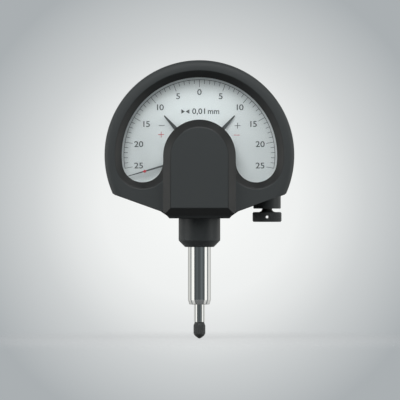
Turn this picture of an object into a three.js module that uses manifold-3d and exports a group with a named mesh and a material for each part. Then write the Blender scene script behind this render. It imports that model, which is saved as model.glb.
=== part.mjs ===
// Dial comparator with a horseshoe window, a clamping shank and a geared lever movement.
// Millimetres, +Z up, the dial faces -Y. The origin is on the spindle axis, at the shoulder
// where the neck ends and the clamping shank starts.
import * as THREE from 'three';
import { mergeVertices } from 'three/addons/utils/BufferGeometryUtils.js';
import Module from 'manifold-3d';

const wasm = await Module();
wasm.setup();

// Fits, cuts and facets
const cutOverrun = 1;
const joinDepth = 0.2;
const weldDistance = 0.00001;
const staticFit = 0.05;
const runningFit = 0.07;
const endPlay = 0.1;
const largeSides = 60;
const mediumSides = 28;
const smallSides = 12;
const tinySides = 10;
const ballSides = 6;

// Dial axis and housing outline
const dialHeight = 32.25;
const housingRadius = 33.2;
const footDrop = 22.15;
const footHalfWidth = 10.3;
const footChamferWidth = 3.5;
const footChamferHeight = 2.4;
const shoulderAngle = THREE.MathUtils.degToRad(19.8);
const neckLength = dialHeight - footDrop;

// Housing depth
const frontFaceY = -14;
const frontWall = 3;
const housingWall = 2.2;
const housingBackY = 7.2;
const crownWidth = 3;
const crownDepth = 1.8;
const crownSteps = 4;

// Window opening and the raised plateau
const rimWidth = 6;
const archRadius = 12.7;
const archDrop = 0.3;
const lobeDrop = 2.35;
const windowBevelWidth = 2.4;
const plateauRise = 2;
const plateauBevel = 2.7;
const plateauFootDrop = 21.15;
const plateauCoreInset = 2;
const plateauSkin = 2;
const windowRadius = housingRadius - rimWidth;
const windowFrontY = frontFaceY + frontWall;

// Window
const windowThickness = 1;
const windowLip = 1.1;
const windowBackY = windowFrontY + windowThickness;

// Pointer
const pointerClearance = 0.6;
const pointerThickness = 0.2;
const pointerReach = 26.1;
const pointerTail = 6;
const pointerTailHalfWidth = 0.8;
const pointerRootHalfWidth = 0.3;
const pointerTipHalfWidth = 0.08;
const pointerHubRadius = 1;
const pointerHubLength = 0.7;
const pointerRestAngle = THREE.MathUtils.degToRad(106);
const pointerFrontY = windowBackY + pointerClearance;
const pointerBackY = pointerFrontY + pointerThickness;

// Tolerance markers and their adjusters
const markerGap = 0.35;
const markerThickness = 0.25;
const markerSpacing = 0.1;
const markerReach = 18.5;
const markerRootHalfWidth = 0.6;
const markerTipHalfWidth = 0.2;
const markerAngle = THREE.MathUtils.degToRad(41.8);
const markerModule = 0.3;
const markerTeeth = 32;
const adjusterTeeth = 8;
const markerInwardAngle = markerAngle;
const markerOutwardAngle = THREE.MathUtils.degToRad(53.2);
const adjusterShaftRadius = 0.6;
const adjusterHeadRadius = 1.6;
const adjusterHeadLength = 1.2;
const adjusterSlotWidth = 0.5;
const adjusterSlotDepth = 0.6;
const leftAdjusterAngle = THREE.MathUtils.degToRad(215);
const rightAdjusterAngle = THREE.MathUtils.degToRad(165);
const markerSpread = markerModule * (markerTeeth + adjusterTeeth) / 2;
const leftMarkerY = pointerBackY + markerGap;
const rightMarkerY = leftMarkerY + markerThickness + markerSpacing;

// Marker hub, dial and dial carrier
const hubFlangeRadius = 9.4;
const hubFlangeThickness = 0.4;
const hubTubeRadius = 3.2;
const hubBoreRadius = 1;
const hubSpigotRadius = 1.9;
const hubSpigotLength = 1;
const dialClearance = 0.15;
const dialLap = 1.1;
const dialThickness = 0.5;
const dialSeatRadius = 8.4;
const dialCutDrop = 11;
const dialCornerRadius = 1.5;
const carrierRadius = 11.8;
const carrierThickness = 0.7;
const carrierArmHalfWidth = 1.8;
const carrierArmEnd = 1.6;
const dialScrewPitchRadius = 10.3;
const dialScrewRadius = 0.5;
const dialScrewHeadRadius = 0.9;
const dialScrewHeadHeight = 0.3;
const dialRadius = windowRadius + dialLap;
const hubFlangeY = rightMarkerY + markerThickness + markerSpacing;
const dialFrontY = hubFlangeY + hubFlangeThickness + dialClearance;
const carrierFrontY = dialFrontY + dialThickness;
const frontPlateY = carrierFrontY + carrierThickness + endPlay;

// Movement plates, pillars and screws
const plateRadius = 14.5;
const frontPlateThickness = 1;
const movementDepth = 8.4;
const rearPlateThickness = 1.2;
const pillarRadius = 1.5;
const pillarSpigotRadius = 0.9;
const pillarPitchRadius = 12.5;
const pillarAngles = [100, 205, 340].map(THREE.MathUtils.degToRad);
const lugAngles = [90, 190, 350].map(THREE.MathUtils.degToRad);
const lugInset = 2;
const lugPitchRadius = housingRadius - housingWall - lugInset;
const lugRadius = 2.3;
const lugLength = 7;
const armHalfWidth = 2.6;
const screwRadius = 0.9;
const screwHeadRadius = 1.7;
const screwHeadHeight = 1.1;
const screwSlotWidth = 0.5;
const screwSlotDepth = 0.5;
const screwGrip = 4;
const guideFootHalfWidth = 3.4;
const guideFootLift = 0.4;
const frontPlateBackY = frontPlateY + frontPlateThickness;
const rearPlateY = frontPlateBackY + movementDepth;
const rearPlateBackY = rearPlateY + rearPlateThickness;

// Gear train: one division of the dial is 0.01 mm of travel
const division = 0.01;
const divisionAngle = THREE.MathUtils.degToRad(4);
const leverModule = 0.25;
const leverTeeth = 118;
const intermediateTeeth = 14;
const sectorModule = 0.2;
const sectorTeeth = 80;
const pointerTeeth = 12;
const gearRatio = leverTeeth / intermediateTeeth * sectorTeeth / pointerTeeth;
const leverArm = gearRatio * division / divisionAngle;
const leverDrop = 8.25;
const leverThickness = 0.7;
const leverHubRadius = 1.7;
const leverNoseRadius = 0.6;
const leverShaftRadius = 0.8;
const leverRimWidth = 1.6;
const leverArmHalfWidth = 1;
const leverTeethBefore = 2;
const leverTeethAfter = 4;
const sectorThickness = 0.5;
const sectorTeethBefore = 9;
const sectorTeethAfter = 2;
const sectorHubRadius = 1.5;
const sectorGap = 0.6;
const leverGap = 0.5;
const pinionOverhang = 0.3;
const arborRadius = 0.55;
const pivotRadius = 0.3;
const jewelRadius = 1;
const stopPinRadius = 0.5;
const stopPinPitchRadius = 6;
const stopPinPlay = 0.2;
const addendum = 0.9;
const dedendum = 1.15;
const toothRootShare = 0.27;
const toothTipShare = 0.12;
const leverHeight = dialHeight - leverDrop;
const sectorY = frontPlateBackY + sectorGap;
const leverY = sectorY + sectorThickness + leverGap;

// Hairspring
const hairspringInner = 1.3;
const hairspringOuter = 3.8;
const hairspringTurns = 4.5;
const hairspringStrip = 0.12;
const hairspringHeight = 0.5;
const hairspringY = 0.8;
const hairspringStepsPerTurn = 12;
const colletLength = 1.1;
const studRadius = 0.4;

// Spindle, contact point and shank
const spindleRadius = 1.875;
const spindleReach = 26.4;
const spindleBoreRadius = 1.25;
const spindleBoreDepth = 4.6;
const contactLength = 5.8;
const contactRadius = 2.1;
const contactShares = [[0.86, 0], [1, 0.17], [1, 0.52], [0.79, 0.76], [0.55, 0.9], [0.28, 0.975], [0, 1]];
const contactStubRadius = 1.15;
const contactStubLength = 4;
const shankRadius = 4;
const shankReach = 20.2;
const shankTopInset = 1.1;
const shankBoreRadius = 2.95;
const shankChamferHeight = 1.6;
const shankChamferWidth = 0.45;
const sealHeight = 0.8;
const sealInset = 0.1;
const shankTop = neckLength - shankTopInset;

// Neck and its lock ring
const neckRadius = 7.33;
const neckChamferWidth = 2.25;
const neckChamferHeight = 2.3;
const spigotRadius = 5.9;
const spigotLength = 4.2;
const neckBoreRadius = 3.4;
const lockRingRadius = 7;
const lockRingHeight = 1.4;

// Ball guide
const ballRadius = 0.5;
const cageWall = 0.5;
const ballsPerRow = 4;
const ballPitch = 2.6;
const lowerCageFoot = -18.6;
const lowerCageRows = 3;
const upperCageFoot = 0.6;
const upperCageRows = 2;
const cageMargin = 1;

// Measuring spring
const springWire = 0.32;
const springSides = 5;
const springStepsPerTurn = 8;
const springEndGap = 0.3;
const springCollarFoot = -9.6;
const springCollarHeight = 0.6;
const springCollarWidth = 0.85;
const springSeatTop = -0.2;
const springSeatHeight = 0.8;
const measuringSpringTurns = 8;

// Floating driver with its shock spring
const guideCollarGap = 0.5;
const guideCollarHeight = 1.2;
const guideCollarRadius = 3.2;
const guideArmHalfWidth = 0.9;
const guideArmReach = 5.2;
const dogGap = 0.2;
const driverHeight = 1.8;
const driverRadius = 2.7;
const dogHalfWidth = 0.7;
const dogHeight = 1;
const dogOverhang = 0.5;
const driverRingHeight = 0.5;
const driverRingRadius = 2.4;
const spindleTopMargin = 0.5;
const shockSpringTurns = 5;
const freeLift = 3;

// Fine adjustment
const adjustInset = 9.4;
const adjustY = 0.5;
const adjustBossRadius = 4.83;
const adjustBossLift = 3.4;
const adjustBossHeight = 5.1;
const bushRadius = 2.6;
const bushFlangeRadius = 3.4;
const bushFlangeHeight = 0.6;
const knobRadius = 5.15;
const knobGap = 1.2;
const knobHeight = 3.46;
const knobChamfer = 0.3;
const knobFillet = 1.1;
const knobFilletSteps = 3;
const knobHoleRadius = 0.5;
const adjustShaftRadius = 1.75;
const adjustThreadRadius = 1.25;
const adjustNutHeight = 2.8;
const adjustNutRadius = 2.3;
const adjustPinRadius = 0.6;
const adjustPinPlay = 0.15;
const adjustTravel = 1.9;
const adjustClipRadius = 3;
const adjustClipHeight = 0.5;
const spotFaceMargin = 0.3;
const spotFaceHeight = 5;
const adjustX = housingRadius - adjustInset;
const adjustBossFoot = neckLength + adjustBossLift;
const adjustBossTop = adjustBossFoot + adjustBossHeight;
const knobFoot = adjustBossFoot - knobGap - knobHeight;
const adjustClipFoot = adjustBossTop + bushFlangeHeight + endPlay;
const adjustNutFoot = adjustClipFoot + adjustClipHeight + adjustTravel + endPlay * 2;

// Rear cover, gasket and cover screws
const gasketThickness = 0.5;
const gasketWidth = 1.5;
const coverThickness = 1.8;
const coverBevel = 0.5;
const coverBossInset = 1.7;
const coverScrewPitchRadius = housingRadius - housingWall - coverBossInset;
const coverScrewAngle = THREE.MathUtils.degToRad(50);
const lowerScrewX = 15;
const lowerScrewLift = 7;
const coverBossRadius = 2.4;
const coverBossLength = 11.5;
const coverSinkRadius = 1.9;
const coverBackY = housingBackY + gasketThickness + coverThickness;

// Turns a geometry into a solid: shared corners are merged and faces are made to point out.
function solidOf(geometry) {
  geometry.deleteAttribute('normal');
  geometry.deleteAttribute('uv');
  const merged = mergeVertices(geometry, weldDistance);
  const points = merged.attributes.position;
  const corners = [0, 1, 2].map(() => new THREE.Vector3());
  const faces = [];
  let volume = 0;
  for (let start = 0; start < merged.index.count; start += corners.length) {
    const face = corners.map((corner, step) => merged.index.getX(start + step));
    if (new Set(face).size < corners.length) continue;
    corners.forEach((corner, step) => corner.fromBufferAttribute(points, face[step]));
    volume += corners[0].dot(corners[1].clone().cross(corners[2]));
    faces.push(face);
  }
  if (volume < 0) faces.forEach((face) => face.reverse());
  const triVerts = Uint32Array.from(faces.flat());
  return new wasm.Manifold(new wasm.Mesh({ numProp: 3, vertProperties: points.array, triVerts }));
}

const joined = (first, ...others) => others.reduce((sum, other) => sum.add(other), first);
const without = (body, ...tools) => tools.reduce((rest, tool) => rest.subtract(tool), body);
const polar = (radius, angle) => new THREE.Vector2(radius * Math.cos(angle), radius * Math.sin(angle));

function roundShape(radius) {
  return new THREE.Shape().absarc(0, 0, radius, 0, 2 * Math.PI);
}

function barShape(halfWidth, from, to) {
  return new THREE.Shape([
    new THREE.Vector2(-halfWidth, from),
    new THREE.Vector2(halfWidth, from),
    new THREE.Vector2(halfWidth, to),
    new THREE.Vector2(-halfWidth, to),
  ]);
}

// A plate in the XZ plane between two depths; the shape's own up is +Z.
function slab(shape, frontY, backY, sides = smallSides, place = new THREE.Vector2()) {
  const geometry = new THREE.ExtrudeGeometry(shape, {
    depth: backY - frontY,
    bevelEnabled: false,
    curveSegments: sides / 2,
  });
  geometry.rotateX(Math.PI / 2);
  geometry.translate(place.x, backY, place.y);
  return solidOf(geometry);
}

// A prism that stands on the XY plane.
function upright(shape, bottom, top, sides = smallSides) {
  const geometry = new THREE.ExtrudeGeometry(shape, {
    depth: top - bottom,
    bevelEnabled: false,
    curveSegments: sides / 2,
  });
  geometry.translate(0, 0, bottom);
  return solidOf(geometry);
}

function bevelledSlab(shape, frontY, backY, bevelWidth, bevelHeight, sides) {
  const geometry = new THREE.ExtrudeGeometry(shape, {
    depth: backY - frontY,
    bevelThickness: bevelHeight,
    bevelSize: bevelWidth,
    bevelSegments: 1,
    curveSegments: sides / 2,
  });
  geometry.rotateX(Math.PI / 2);
  geometry.translate(0, backY, 0);
  return solidOf(geometry);
}

// A turned solid about an axis along Y; each row is a radius and a depth.
function turned(rows, sides = smallSides, place = new THREE.Vector2()) {
  const profile = rows.map(([radius, y]) => new THREE.Vector2(radius, y));
  const geometry = new THREE.LatheGeometry(profile, sides);
  geometry.translate(place.x, 0, place.y);
  return solidOf(geometry);
}

// A turned solid about an axis along Z; each row is a radius and a height.
function turnedUpright(rows, sides = smallSides) {
  const profile = rows.map(([radius, z]) => new THREE.Vector2(radius, z));
  const geometry = new THREE.LatheGeometry(profile, sides);
  geometry.rotateX(Math.PI / 2);
  return solidOf(geometry);
}

const rodRows = (radius, from, to) => [[0, from], [radius, from], [radius, to], [0, to]];
const tubeRows = (inner, outer, from, to) => [
  [inner, from], [outer, from], [outer, to], [inner, to], [inner, from],
];

function pinAlongY(radius, frontY, backY, place = new THREE.Vector2(), sides = smallSides) {
  return turned(rodRows(radius, frontY, backY), sides, place);
}

// Gear teeth

// The outline of a run of teeth; tooth 0 points along the angle called facing.
function toothRun(teeth, module, facing, first, last) {
  const pitch = 2 * Math.PI / teeth;
  const pitchRadius = module * teeth / 2;
  const rootRadius = pitchRadius - dedendum * module;
  const tipRadius = pitchRadius + addendum * module;
  const points = [];
  for (let tooth = first; tooth <= last; tooth += 1) {
    const middle = facing + tooth * pitch;
    points.push(polar(rootRadius, middle - toothRootShare * pitch));
    points.push(polar(tipRadius, middle - toothTipShare * pitch));
    points.push(polar(tipRadius, middle + toothTipShare * pitch));
    points.push(polar(rootRadius, middle + toothRootShare * pitch));
  }
  return points;
}

// A whole pinion with a space between two teeth along the angle called facing.
function pinionShape(teeth, module, facing) {
  return new THREE.Shape(toothRun(teeth, module, facing + Math.PI / teeth, 0, teeth - 1));
}

// The slice of a sector gear between an inner radius and its teeth.
function sectorRim(teeth, module, facing, first, last, innerRadius) {
  const outer = toothRun(teeth, module, facing, first, last);
  const inner = outer.map((point) => polar(innerRadius, point.angle())).reverse();
  return new THREE.Shape([...outer, ...inner]);
}

// A tapering arm from the origin out along an angle.
function taperedArm(angle, from, to, rootHalfWidth, tipHalfWidth) {
  const along = polar(1, angle);
  const across = polar(1, angle + Math.PI / 2);
  const corner = (reach, side) => along.clone().multiplyScalar(reach).addScaledVector(across, side);
  return new THREE.Shape([
    corner(from, -rootHalfWidth),
    corner(to, -tipHalfWidth),
    corner(to, tipHalfWidth),
    corner(from, rootHalfWidth),
  ]);
}

// Springs

class Helix extends THREE.Curve {
  constructor(radius, bottom, top, turns) {
    super();
    Object.assign(this, { radius, bottom, top, turns });
  }

  getPoint(share, target = new THREE.Vector3()) {
    const angle = 2 * Math.PI * this.turns * share;
    const height = THREE.MathUtils.lerp(this.bottom, this.top, share);
    return target.set(this.radius * Math.cos(angle), this.radius * Math.sin(angle), height);
  }
}

function coilSpring(meanRadius, bottom, top, turns) {
  const wireRadius = springWire / 2;
  const path = new Helix(meanRadius, bottom + wireRadius, top - wireRadius, turns);
  const corners = Array.from({ length: springSides }, (none, step) => (
    polar(wireRadius, 2 * Math.PI * step / springSides)
  ));
  const geometry = new THREE.ExtrudeGeometry(new THREE.Shape(corners), {
    steps: turns * springStepsPerTurn,
    extrudePath: path,
  });
  return solidOf(geometry);
}

function spiralStrip(innerRadius, outerRadius, turns, strip) {
  const count = turns * hairspringStepsPerTurn;
  const edge = (offset) => Array.from({ length: count + 1 }, (none, step) => {
    const radius = THREE.MathUtils.lerp(innerRadius, outerRadius, step / count) + offset;
    return polar(radius, 2 * Math.PI * turns * step / count);
  });
  return new THREE.Shape([...edge(strip / 2), ...edge(-strip / 2).reverse()]);
}

// Screws

// A slotted cheese-head screw along Y; its head's seat is at seatY and it points forward.
function slottedScrew(shankRadiusOfScrew, headRadius, headHeight, seatY, grip, place) {
  const rows = [
    [0, seatY - grip],
    [shankRadiusOfScrew, seatY - grip],
    [shankRadiusOfScrew, seatY],
    [headRadius, seatY],
    [headRadius, seatY + headHeight],
    [0, seatY + headHeight],
  ];
  const slotTop = seatY + headHeight + cutOverrun;
  const slot = barShape(screwSlotWidth / 2, -headRadius - cutOverrun, headRadius + cutOverrun);
  const slotFloor = seatY + headHeight - screwSlotDepth;
  return without(turned(rows, tinySides, place), slab(slot, slotFloor, slotTop, tinySides, place));
}

// Housing

// The wedge of shoulders and foot that the round body is cut to, drawn from the dial centre.
function shoulderShape(inset) {
  const reach = 2 * housingRadius;
  const knee = new THREE.Vector2(footHalfWidth + footChamferWidth, footChamferHeight - footDrop);
  const path = [
    new THREE.Vector2(0, -footDrop),
    new THREE.Vector2(footHalfWidth, -footDrop),
    knee,
    knee.clone().add(polar(reach, shoulderAngle)),
  ];
  const right = insetPath(path, inset);
  const left = right.map((point) => new THREE.Vector2(-point.x, point.y)).reverse();
  const top = new THREE.Vector2(0, reach);
  return new THREE.Shape([...right.slice(1), top, ...left.slice(0, -1)]);
}

// Moves an open path to its left by a distance, with mitred corners.
function insetPath(path, distance) {
  const sides = path.slice(1).map((end, step) => end.clone().sub(path[step]).normalize());
  return path.map((point, step) => {
    const before = sides[Math.max(step - 1, 0)];
    const after = sides[Math.min(step, sides.length - 1)];
    const mitre = before.clone().add(after).normalize();
    const left = new THREE.Vector2(-mitre.y, mitre.x);
    return point.clone().addScaledVector(left, distance / mitre.dot(before));
  });
}

function bodyBlock(inset, frontY, backY) {
  const round = slab(roundShape(housingRadius - inset), frontY, backY, largeSides);
  return round.intersect(slab(shoulderShape(inset), frontY, backY));
}

// The front edge of the round is crowned like a quarter of an ellipse.
function crownedBlock() {
  const crown = Array.from({ length: crownSteps + 1 }, (none, step) => {
    const turn = Math.PI / 2 * step / crownSteps;
    const radius = housingRadius - crownWidth + crownWidth * Math.sin(turn);
    return [radius, frontFaceY + crownDepth - crownDepth * Math.cos(turn)];
  });
  const rows = [[0, frontFaceY], ...crown, [housingRadius, housingBackY], [0, housingBackY]];
  const wedge = slab(shoulderShape(0), frontFaceY - cutOverrun, housingBackY + cutOverrun);
  return turned(rows, largeSides).intersect(wedge);
}

// The lobes touch the window's round on the outside and the plateau's sides on the inside.
function lobe() {
  const span = windowRadius + archRadius;
  const x = (span * span - lobeDrop * lobeDrop) / (2 * span);
  return { x, radius: x - archRadius, angle: Math.atan2(-lobeDrop, x) };
}

function windowShape(margin) {
  const { x, radius, angle } = lobe();
  const shape = new THREE.Shape();
  shape.absarc(0, 0, windowRadius + margin, angle, Math.PI - angle);
  shape.absarc(-x, -lobeDrop, radius + margin, Math.PI - angle, 2 * Math.PI);
  shape.absarc(x, -lobeDrop, radius + margin, Math.PI, 2 * Math.PI + angle);
  return shape;
}

function tombstoneShape(inset) {
  const halfWidth = archRadius - inset;
  const shape = new THREE.Shape();
  shape.moveTo(-halfWidth, inset - plateauFootDrop);
  shape.lineTo(halfWidth, inset - plateauFootDrop);
  shape.absarc(0, -archDrop, halfWidth, 0, Math.PI);
  return shape;
}

function windowCutter() {
  const opening = bevelledSlab(
    windowShape(0), frontFaceY - cutOverrun, frontFaceY, windowBevelWidth, frontWall, mediumSides,
  );
  const through = slab(windowShape(0), windowFrontY - joinDepth, windowFrontY + cutOverrun, mediumSides);
  const tombstone = slab(
    tombstoneShape(0), frontFaceY - frontWall - cutOverrun * 2, windowFrontY + cutOverrun * 2, mediumSides,
  );
  return joined(opening, through).subtract(tombstone);
}

function plateau() {
  const topY = frontFaceY - plateauRise;
  return bevelledSlab(
    tombstoneShape(plateauBevel), topY + plateauRise, topY + plateauRise + joinDepth,
    plateauBevel, plateauRise, mediumSides,
  );
}

function placesAround(radius, angles) {
  return angles.map((angle) => polar(radius, angle));
}

function coverScrewPlaces() {
  const upper = [coverScrewAngle, Math.PI - coverScrewAngle];
  const lowerZ = lowerScrewLift - footDrop;
  const lower = [lowerScrewX, -lowerScrewX].map((x) => new THREE.Vector2(x, lowerZ));
  return [...placesAround(coverScrewPitchRadius, upper), ...lower];
}

function uprightAt(solidRows, x, y, sides) {
  const profile = solidRows.map(([radius, z]) => new THREE.Vector2(radius, z - dialHeight));
  const geometry = new THREE.LatheGeometry(profile, sides);
  geometry.rotateX(Math.PI / 2);
  geometry.translate(x, y, 0);
  return solidOf(geometry);
}

function housing() {
  const hollow = bodyBlock(housingWall, windowFrontY, housingBackY + cutOverrun);
  const core = slab(
    tombstoneShape(plateauBevel + plateauCoreInset),
    frontFaceY - plateauRise + plateauSkin, windowFrontY + cutOverrun, mediumSides,
  );
  const shell = without(joined(crownedBlock(), plateau()), hollow, core, windowCutter());
  const lugs = placesAround(lugPitchRadius, lugAngles).map((place) => (
    slab(roundShape(lugRadius), rearPlateY - lugLength, rearPlateY, tinySides, place)
  ));
  const bosses = coverScrewPlaces().map((place) => (
    slab(roundShape(coverBossRadius), housingBackY - coverBossLength, housingBackY, tinySides, place)
  ));
  const bossRows = rodRows(adjustBossRadius, adjustBossFoot, adjustBossTop);
  const adjustBoss = uprightAt(bossRows, adjustX, adjustY, mediumSides);
  const outside = bodyBlock(0, frontFaceY + crownDepth, housingBackY);
  const inner = joined(...lugs, ...bosses).intersect(outside);
  const screwHole = (place, seatY) => (
    pinAlongY(screwRadius + staticFit, seatY - screwGrip, seatY + cutOverrun, place, tinySides)
  );
  const screwHoles = [
    ...placesAround(lugPitchRadius, lugAngles).map((place) => screwHole(place, rearPlateY)),
    ...coverScrewPlaces().map((place) => screwHole(place, housingBackY)),
  ];
  const neckHoleRows = rodRows(
    spigotRadius + staticFit, neckLength - cutOverrun, neckLength + housingWall + cutOverrun,
  );
  const neckHole = uprightAt(neckHoleRows, 0, 0, mediumSides);
  const bushHoleRows = rodRows(
    bushRadius + staticFit, adjustBossFoot - cutOverrun, adjustBossTop + cutOverrun,
  );
  const bushHole = uprightAt(bushHoleRows, adjustX, adjustY, smallSides);
  const spotFaceRadius = bushFlangeRadius + spotFaceMargin;
  const spotFaceRows = rodRows(spotFaceRadius, adjustBossTop, adjustBossTop + spotFaceHeight);
  const spotFace = uprightAt(spotFaceRows, adjustX, adjustY, smallSides);
  return without(joined(shell, inner, adjustBoss), neckHole, bushHole, spotFace, ...screwHoles);
}

function windowPane() {
  return slab(windowShape(windowLip), windowFrontY, windowBackY, mediumSides);
}

function rearGasket() {
  const outer = bodyBlock(staticFit, housingBackY, housingBackY + gasketThickness);
  const backY = housingBackY + gasketThickness + cutOverrun;
  const inner = bodyBlock(gasketWidth, housingBackY - cutOverrun, backY);
  return without(outer, inner);
}

function rearCover() {
  const innerY = housingBackY + gasketThickness;
  const plate = bodyBlock(0, innerY, coverBackY - coverBevel);
  const rim = bodyBlock(coverBevel, coverBackY - coverBevel - joinDepth, coverBackY);
  const holes = coverScrewPlaces().flatMap((place) => [
    pinAlongY(screwRadius + staticFit, innerY - cutOverrun, coverBackY + cutOverrun, place, tinySides),
    pinAlongY(coverSinkRadius, coverBackY - screwHeadHeight, coverBackY + cutOverrun, place, tinySides),
  ]);
  const adjusters = adjusterPlaces().map((place) => (
    pinAlongY(adjusterHeadRadius + runningFit, innerY - cutOverrun, coverBackY + cutOverrun, place)
  ));
  return without(joined(plate, rim), ...holes, ...adjusters);
}

// Dial side

// A round tool that cuts right through a plate between two depths.
function cutThrough(radius, frontY, backY, place, sides) {
  return pinAlongY(radius, frontY - cutOverrun, backY + cutOverrun, place, sides);
}

function adjusterPlaces() {
  return placesAround(markerSpread, [leftAdjusterAngle, rightAdjusterAngle]);
}

// The place of the fine adjustment's pin, from the dial centre.
function adjustPinPlace() {
  return new THREE.Vector2(adjustX, adjustNutFoot + adjustNutHeight / 2 - dialHeight);
}

function dialPlate() {
  const disc = slab(roundShape(dialRadius), dialFrontY, carrierFrontY, largeSides);
  const reach = dialRadius - dialCornerRadius;
  const floor = dialCornerRadius - dialCutDrop;
  const side = Math.sqrt(reach * reach - floor * floor);
  const lower = new THREE.Shape();
  lower.moveTo(-side, -dialCutDrop);
  lower.lineTo(side, -dialCutDrop);
  lower.absarc(side, floor, dialCornerRadius, -Math.PI / 2, Math.atan2(floor, side));
  lower.lineTo(dialRadius + cutOverrun, dialRadius + cutOverrun);
  lower.lineTo(-dialRadius - cutOverrun, dialRadius + cutOverrun);
  lower.absarc(-side, floor, dialCornerRadius, Math.PI - Math.atan2(floor, side), 3 * Math.PI / 2);
  const trimmed = disc.intersect(slab(lower, dialFrontY - cutOverrun, carrierFrontY + cutOverrun, tinySides));
  const seat = cutThrough(dialSeatRadius + runningFit, dialFrontY, carrierFrontY, undefined, mediumSides);
  const holes = dialScrewPlaces().map((place) => (
    cutThrough(dialScrewRadius + staticFit, dialFrontY, carrierFrontY, place, tinySides)
  ));
  return without(trimmed, seat, ...holes);
}

function dialScrewPlaces() {
  return placesAround(dialScrewPitchRadius, [0, Math.PI]);
}

function dialCarrier() {
  const backY = carrierFrontY + carrierThickness;
  const pin = adjustPinPlace();
  const slotFoot = pin.length() - adjustTravel / 2 - adjustPinRadius;
  const slotReach = pin.length() + adjustTravel / 2 + adjustPinRadius;
  const slotHalfWidth = adjustPinRadius + adjustPinPlay;
  const ring = slab(roundShape(carrierRadius), carrierFrontY, backY, mediumSides);
  const armFoot = carrierRadius - joinDepth;
  const armReach = slotReach + carrierArmEnd / 2;
  const cutReach = slotReach + carrierArmEnd;
  const armShape = taperedArm(pin.angle(), armFoot, armReach, carrierArmHalfWidth, carrierArmHalfWidth);
  const slotShape = taperedArm(pin.angle(), slotFoot, cutReach, slotHalfWidth, slotHalfWidth);
  const arm = slab(armShape, carrierFrontY, backY);
  const slot = slab(slotShape, carrierFrontY - cutOverrun, backY + cutOverrun);
  const seat = cutThrough(dialSeatRadius + runningFit, carrierFrontY, backY, undefined, mediumSides);
  const holes = dialScrewPlaces().map((place) => (
    cutThrough(dialScrewRadius + staticFit, carrierFrontY, backY, place, tinySides)
  ));
  return without(joined(ring, arm), slot, seat, ...holes);
}

function dialScrew(place) {
  const rows = [
    [0, dialFrontY - dialScrewHeadHeight],
    [dialScrewHeadRadius, dialFrontY - dialScrewHeadHeight],
    [dialScrewHeadRadius, dialFrontY],
    [dialScrewRadius, dialFrontY],
    [dialScrewRadius, carrierFrontY + carrierThickness],
    [0, carrierFrontY + carrierThickness],
  ];
  return turned(rows, tinySides, place);
}

function markerHub() {
  const flangeBackY = hubFlangeY + hubFlangeThickness;
  const rows = [
    [hubBoreRadius, leftMarkerY - endPlay],
    [hubTubeRadius, leftMarkerY - endPlay],
    [hubTubeRadius, hubFlangeY],
    [hubFlangeRadius, hubFlangeY],
    [hubFlangeRadius, flangeBackY],
    [hubSpigotRadius, flangeBackY],
    [hubSpigotRadius, flangeBackY + hubSpigotLength],
    [hubBoreRadius, flangeBackY + hubSpigotLength],
    [hubBoreRadius, leftMarkerY - endPlay],
  ];
  const shaftHoles = adjusterPlaces().map((place) => (
    cutThrough(adjusterShaftRadius + runningFit, hubFlangeY, flangeBackY, place)
  ));
  return without(turned(rows, mediumSides), ...shaftHoles);
}

// A toothed ring that turns on the hub and carries the marker blade.
function toleranceMarker(frontY, bladeAngle, adjusterAngle) {
  const backY = frontY + markerThickness;
  const upAngle = Math.PI / 2;
  const bladeFoot = hubTubeRadius + markerModule;
  const blade = taperedArm(
    upAngle - bladeAngle, bladeFoot, markerReach, markerRootHalfWidth, markerTipHalfWidth,
  );
  const pitch = 2 * Math.PI / markerTeeth;
  const clockwise = bladeAngle < 0 ? markerInwardAngle : markerOutwardAngle;
  const counter = bladeAngle < 0 ? markerOutwardAngle : markerInwardAngle;
  const rootRadius = markerModule * (markerTeeth / 2 - dedendum);
  const first = -Math.ceil(counter / pitch) - 1;
  const last = Math.ceil(clockwise / pitch) + 1;
  const rim = sectorRim(markerTeeth, markerModule, adjusterAngle, first, last, hubTubeRadius);
  const ring = pinAlongY(rootRadius, frontY, backY, undefined, mediumSides);
  const bore = cutThrough(hubTubeRadius + runningFit, frontY, backY, undefined, mediumSides);
  return without(joined(ring, slab(rim, frontY, backY), slab(blade, frontY, backY)), bore);
}

function markerAdjuster(markerFrontY, adjusterAngle) {
  const place = polar(markerSpread, adjusterAngle);
  const teeth = pinionShape(adjusterTeeth, markerModule, adjusterAngle + Math.PI);
  const pinion = slab(teeth, markerFrontY, markerFrontY + markerThickness, smallSides, place);
  const rows = [
    [0, markerFrontY],
    [adjusterShaftRadius, markerFrontY],
    [adjusterShaftRadius, coverBackY - adjusterHeadLength],
    [adjusterHeadRadius, coverBackY - adjusterHeadLength],
    [adjusterHeadRadius, coverBackY],
    [0, coverBackY],
  ];
  const slotReach = adjusterHeadRadius + cutOverrun;
  const slot = barShape(adjusterSlotWidth / 2, -slotReach, slotReach);
  const cut = slab(slot, coverBackY - adjusterSlotDepth, coverBackY + cutOverrun, tinySides, place);
  return without(joined(pinion, turned(rows, smallSides, place)), cut);
}

function pointerBody() {
  const upAngle = Math.PI / 2;
  const blade = taperedArm(upAngle, 0, pointerReach, pointerRootHalfWidth, pointerTipHalfWidth);
  const tail = taperedArm(upAngle + Math.PI, 0, pointerTail, pointerRootHalfWidth, pointerTailHalfWidth);
  const hubOverhang = (pointerHubLength - pointerThickness) / 2;
  const hubFrontY = pointerFrontY - hubOverhang;
  const hubBackY = pointerBackY + hubOverhang;
  const body = joined(
    slab(blade, pointerFrontY, pointerBackY),
    slab(tail, pointerFrontY, pointerBackY),
    pinAlongY(pointerHubRadius, hubFrontY, hubBackY),
  );
  return without(body, cutThrough(pivotRadius + staticFit, hubFrontY, hubBackY));
}

// Movement

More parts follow.
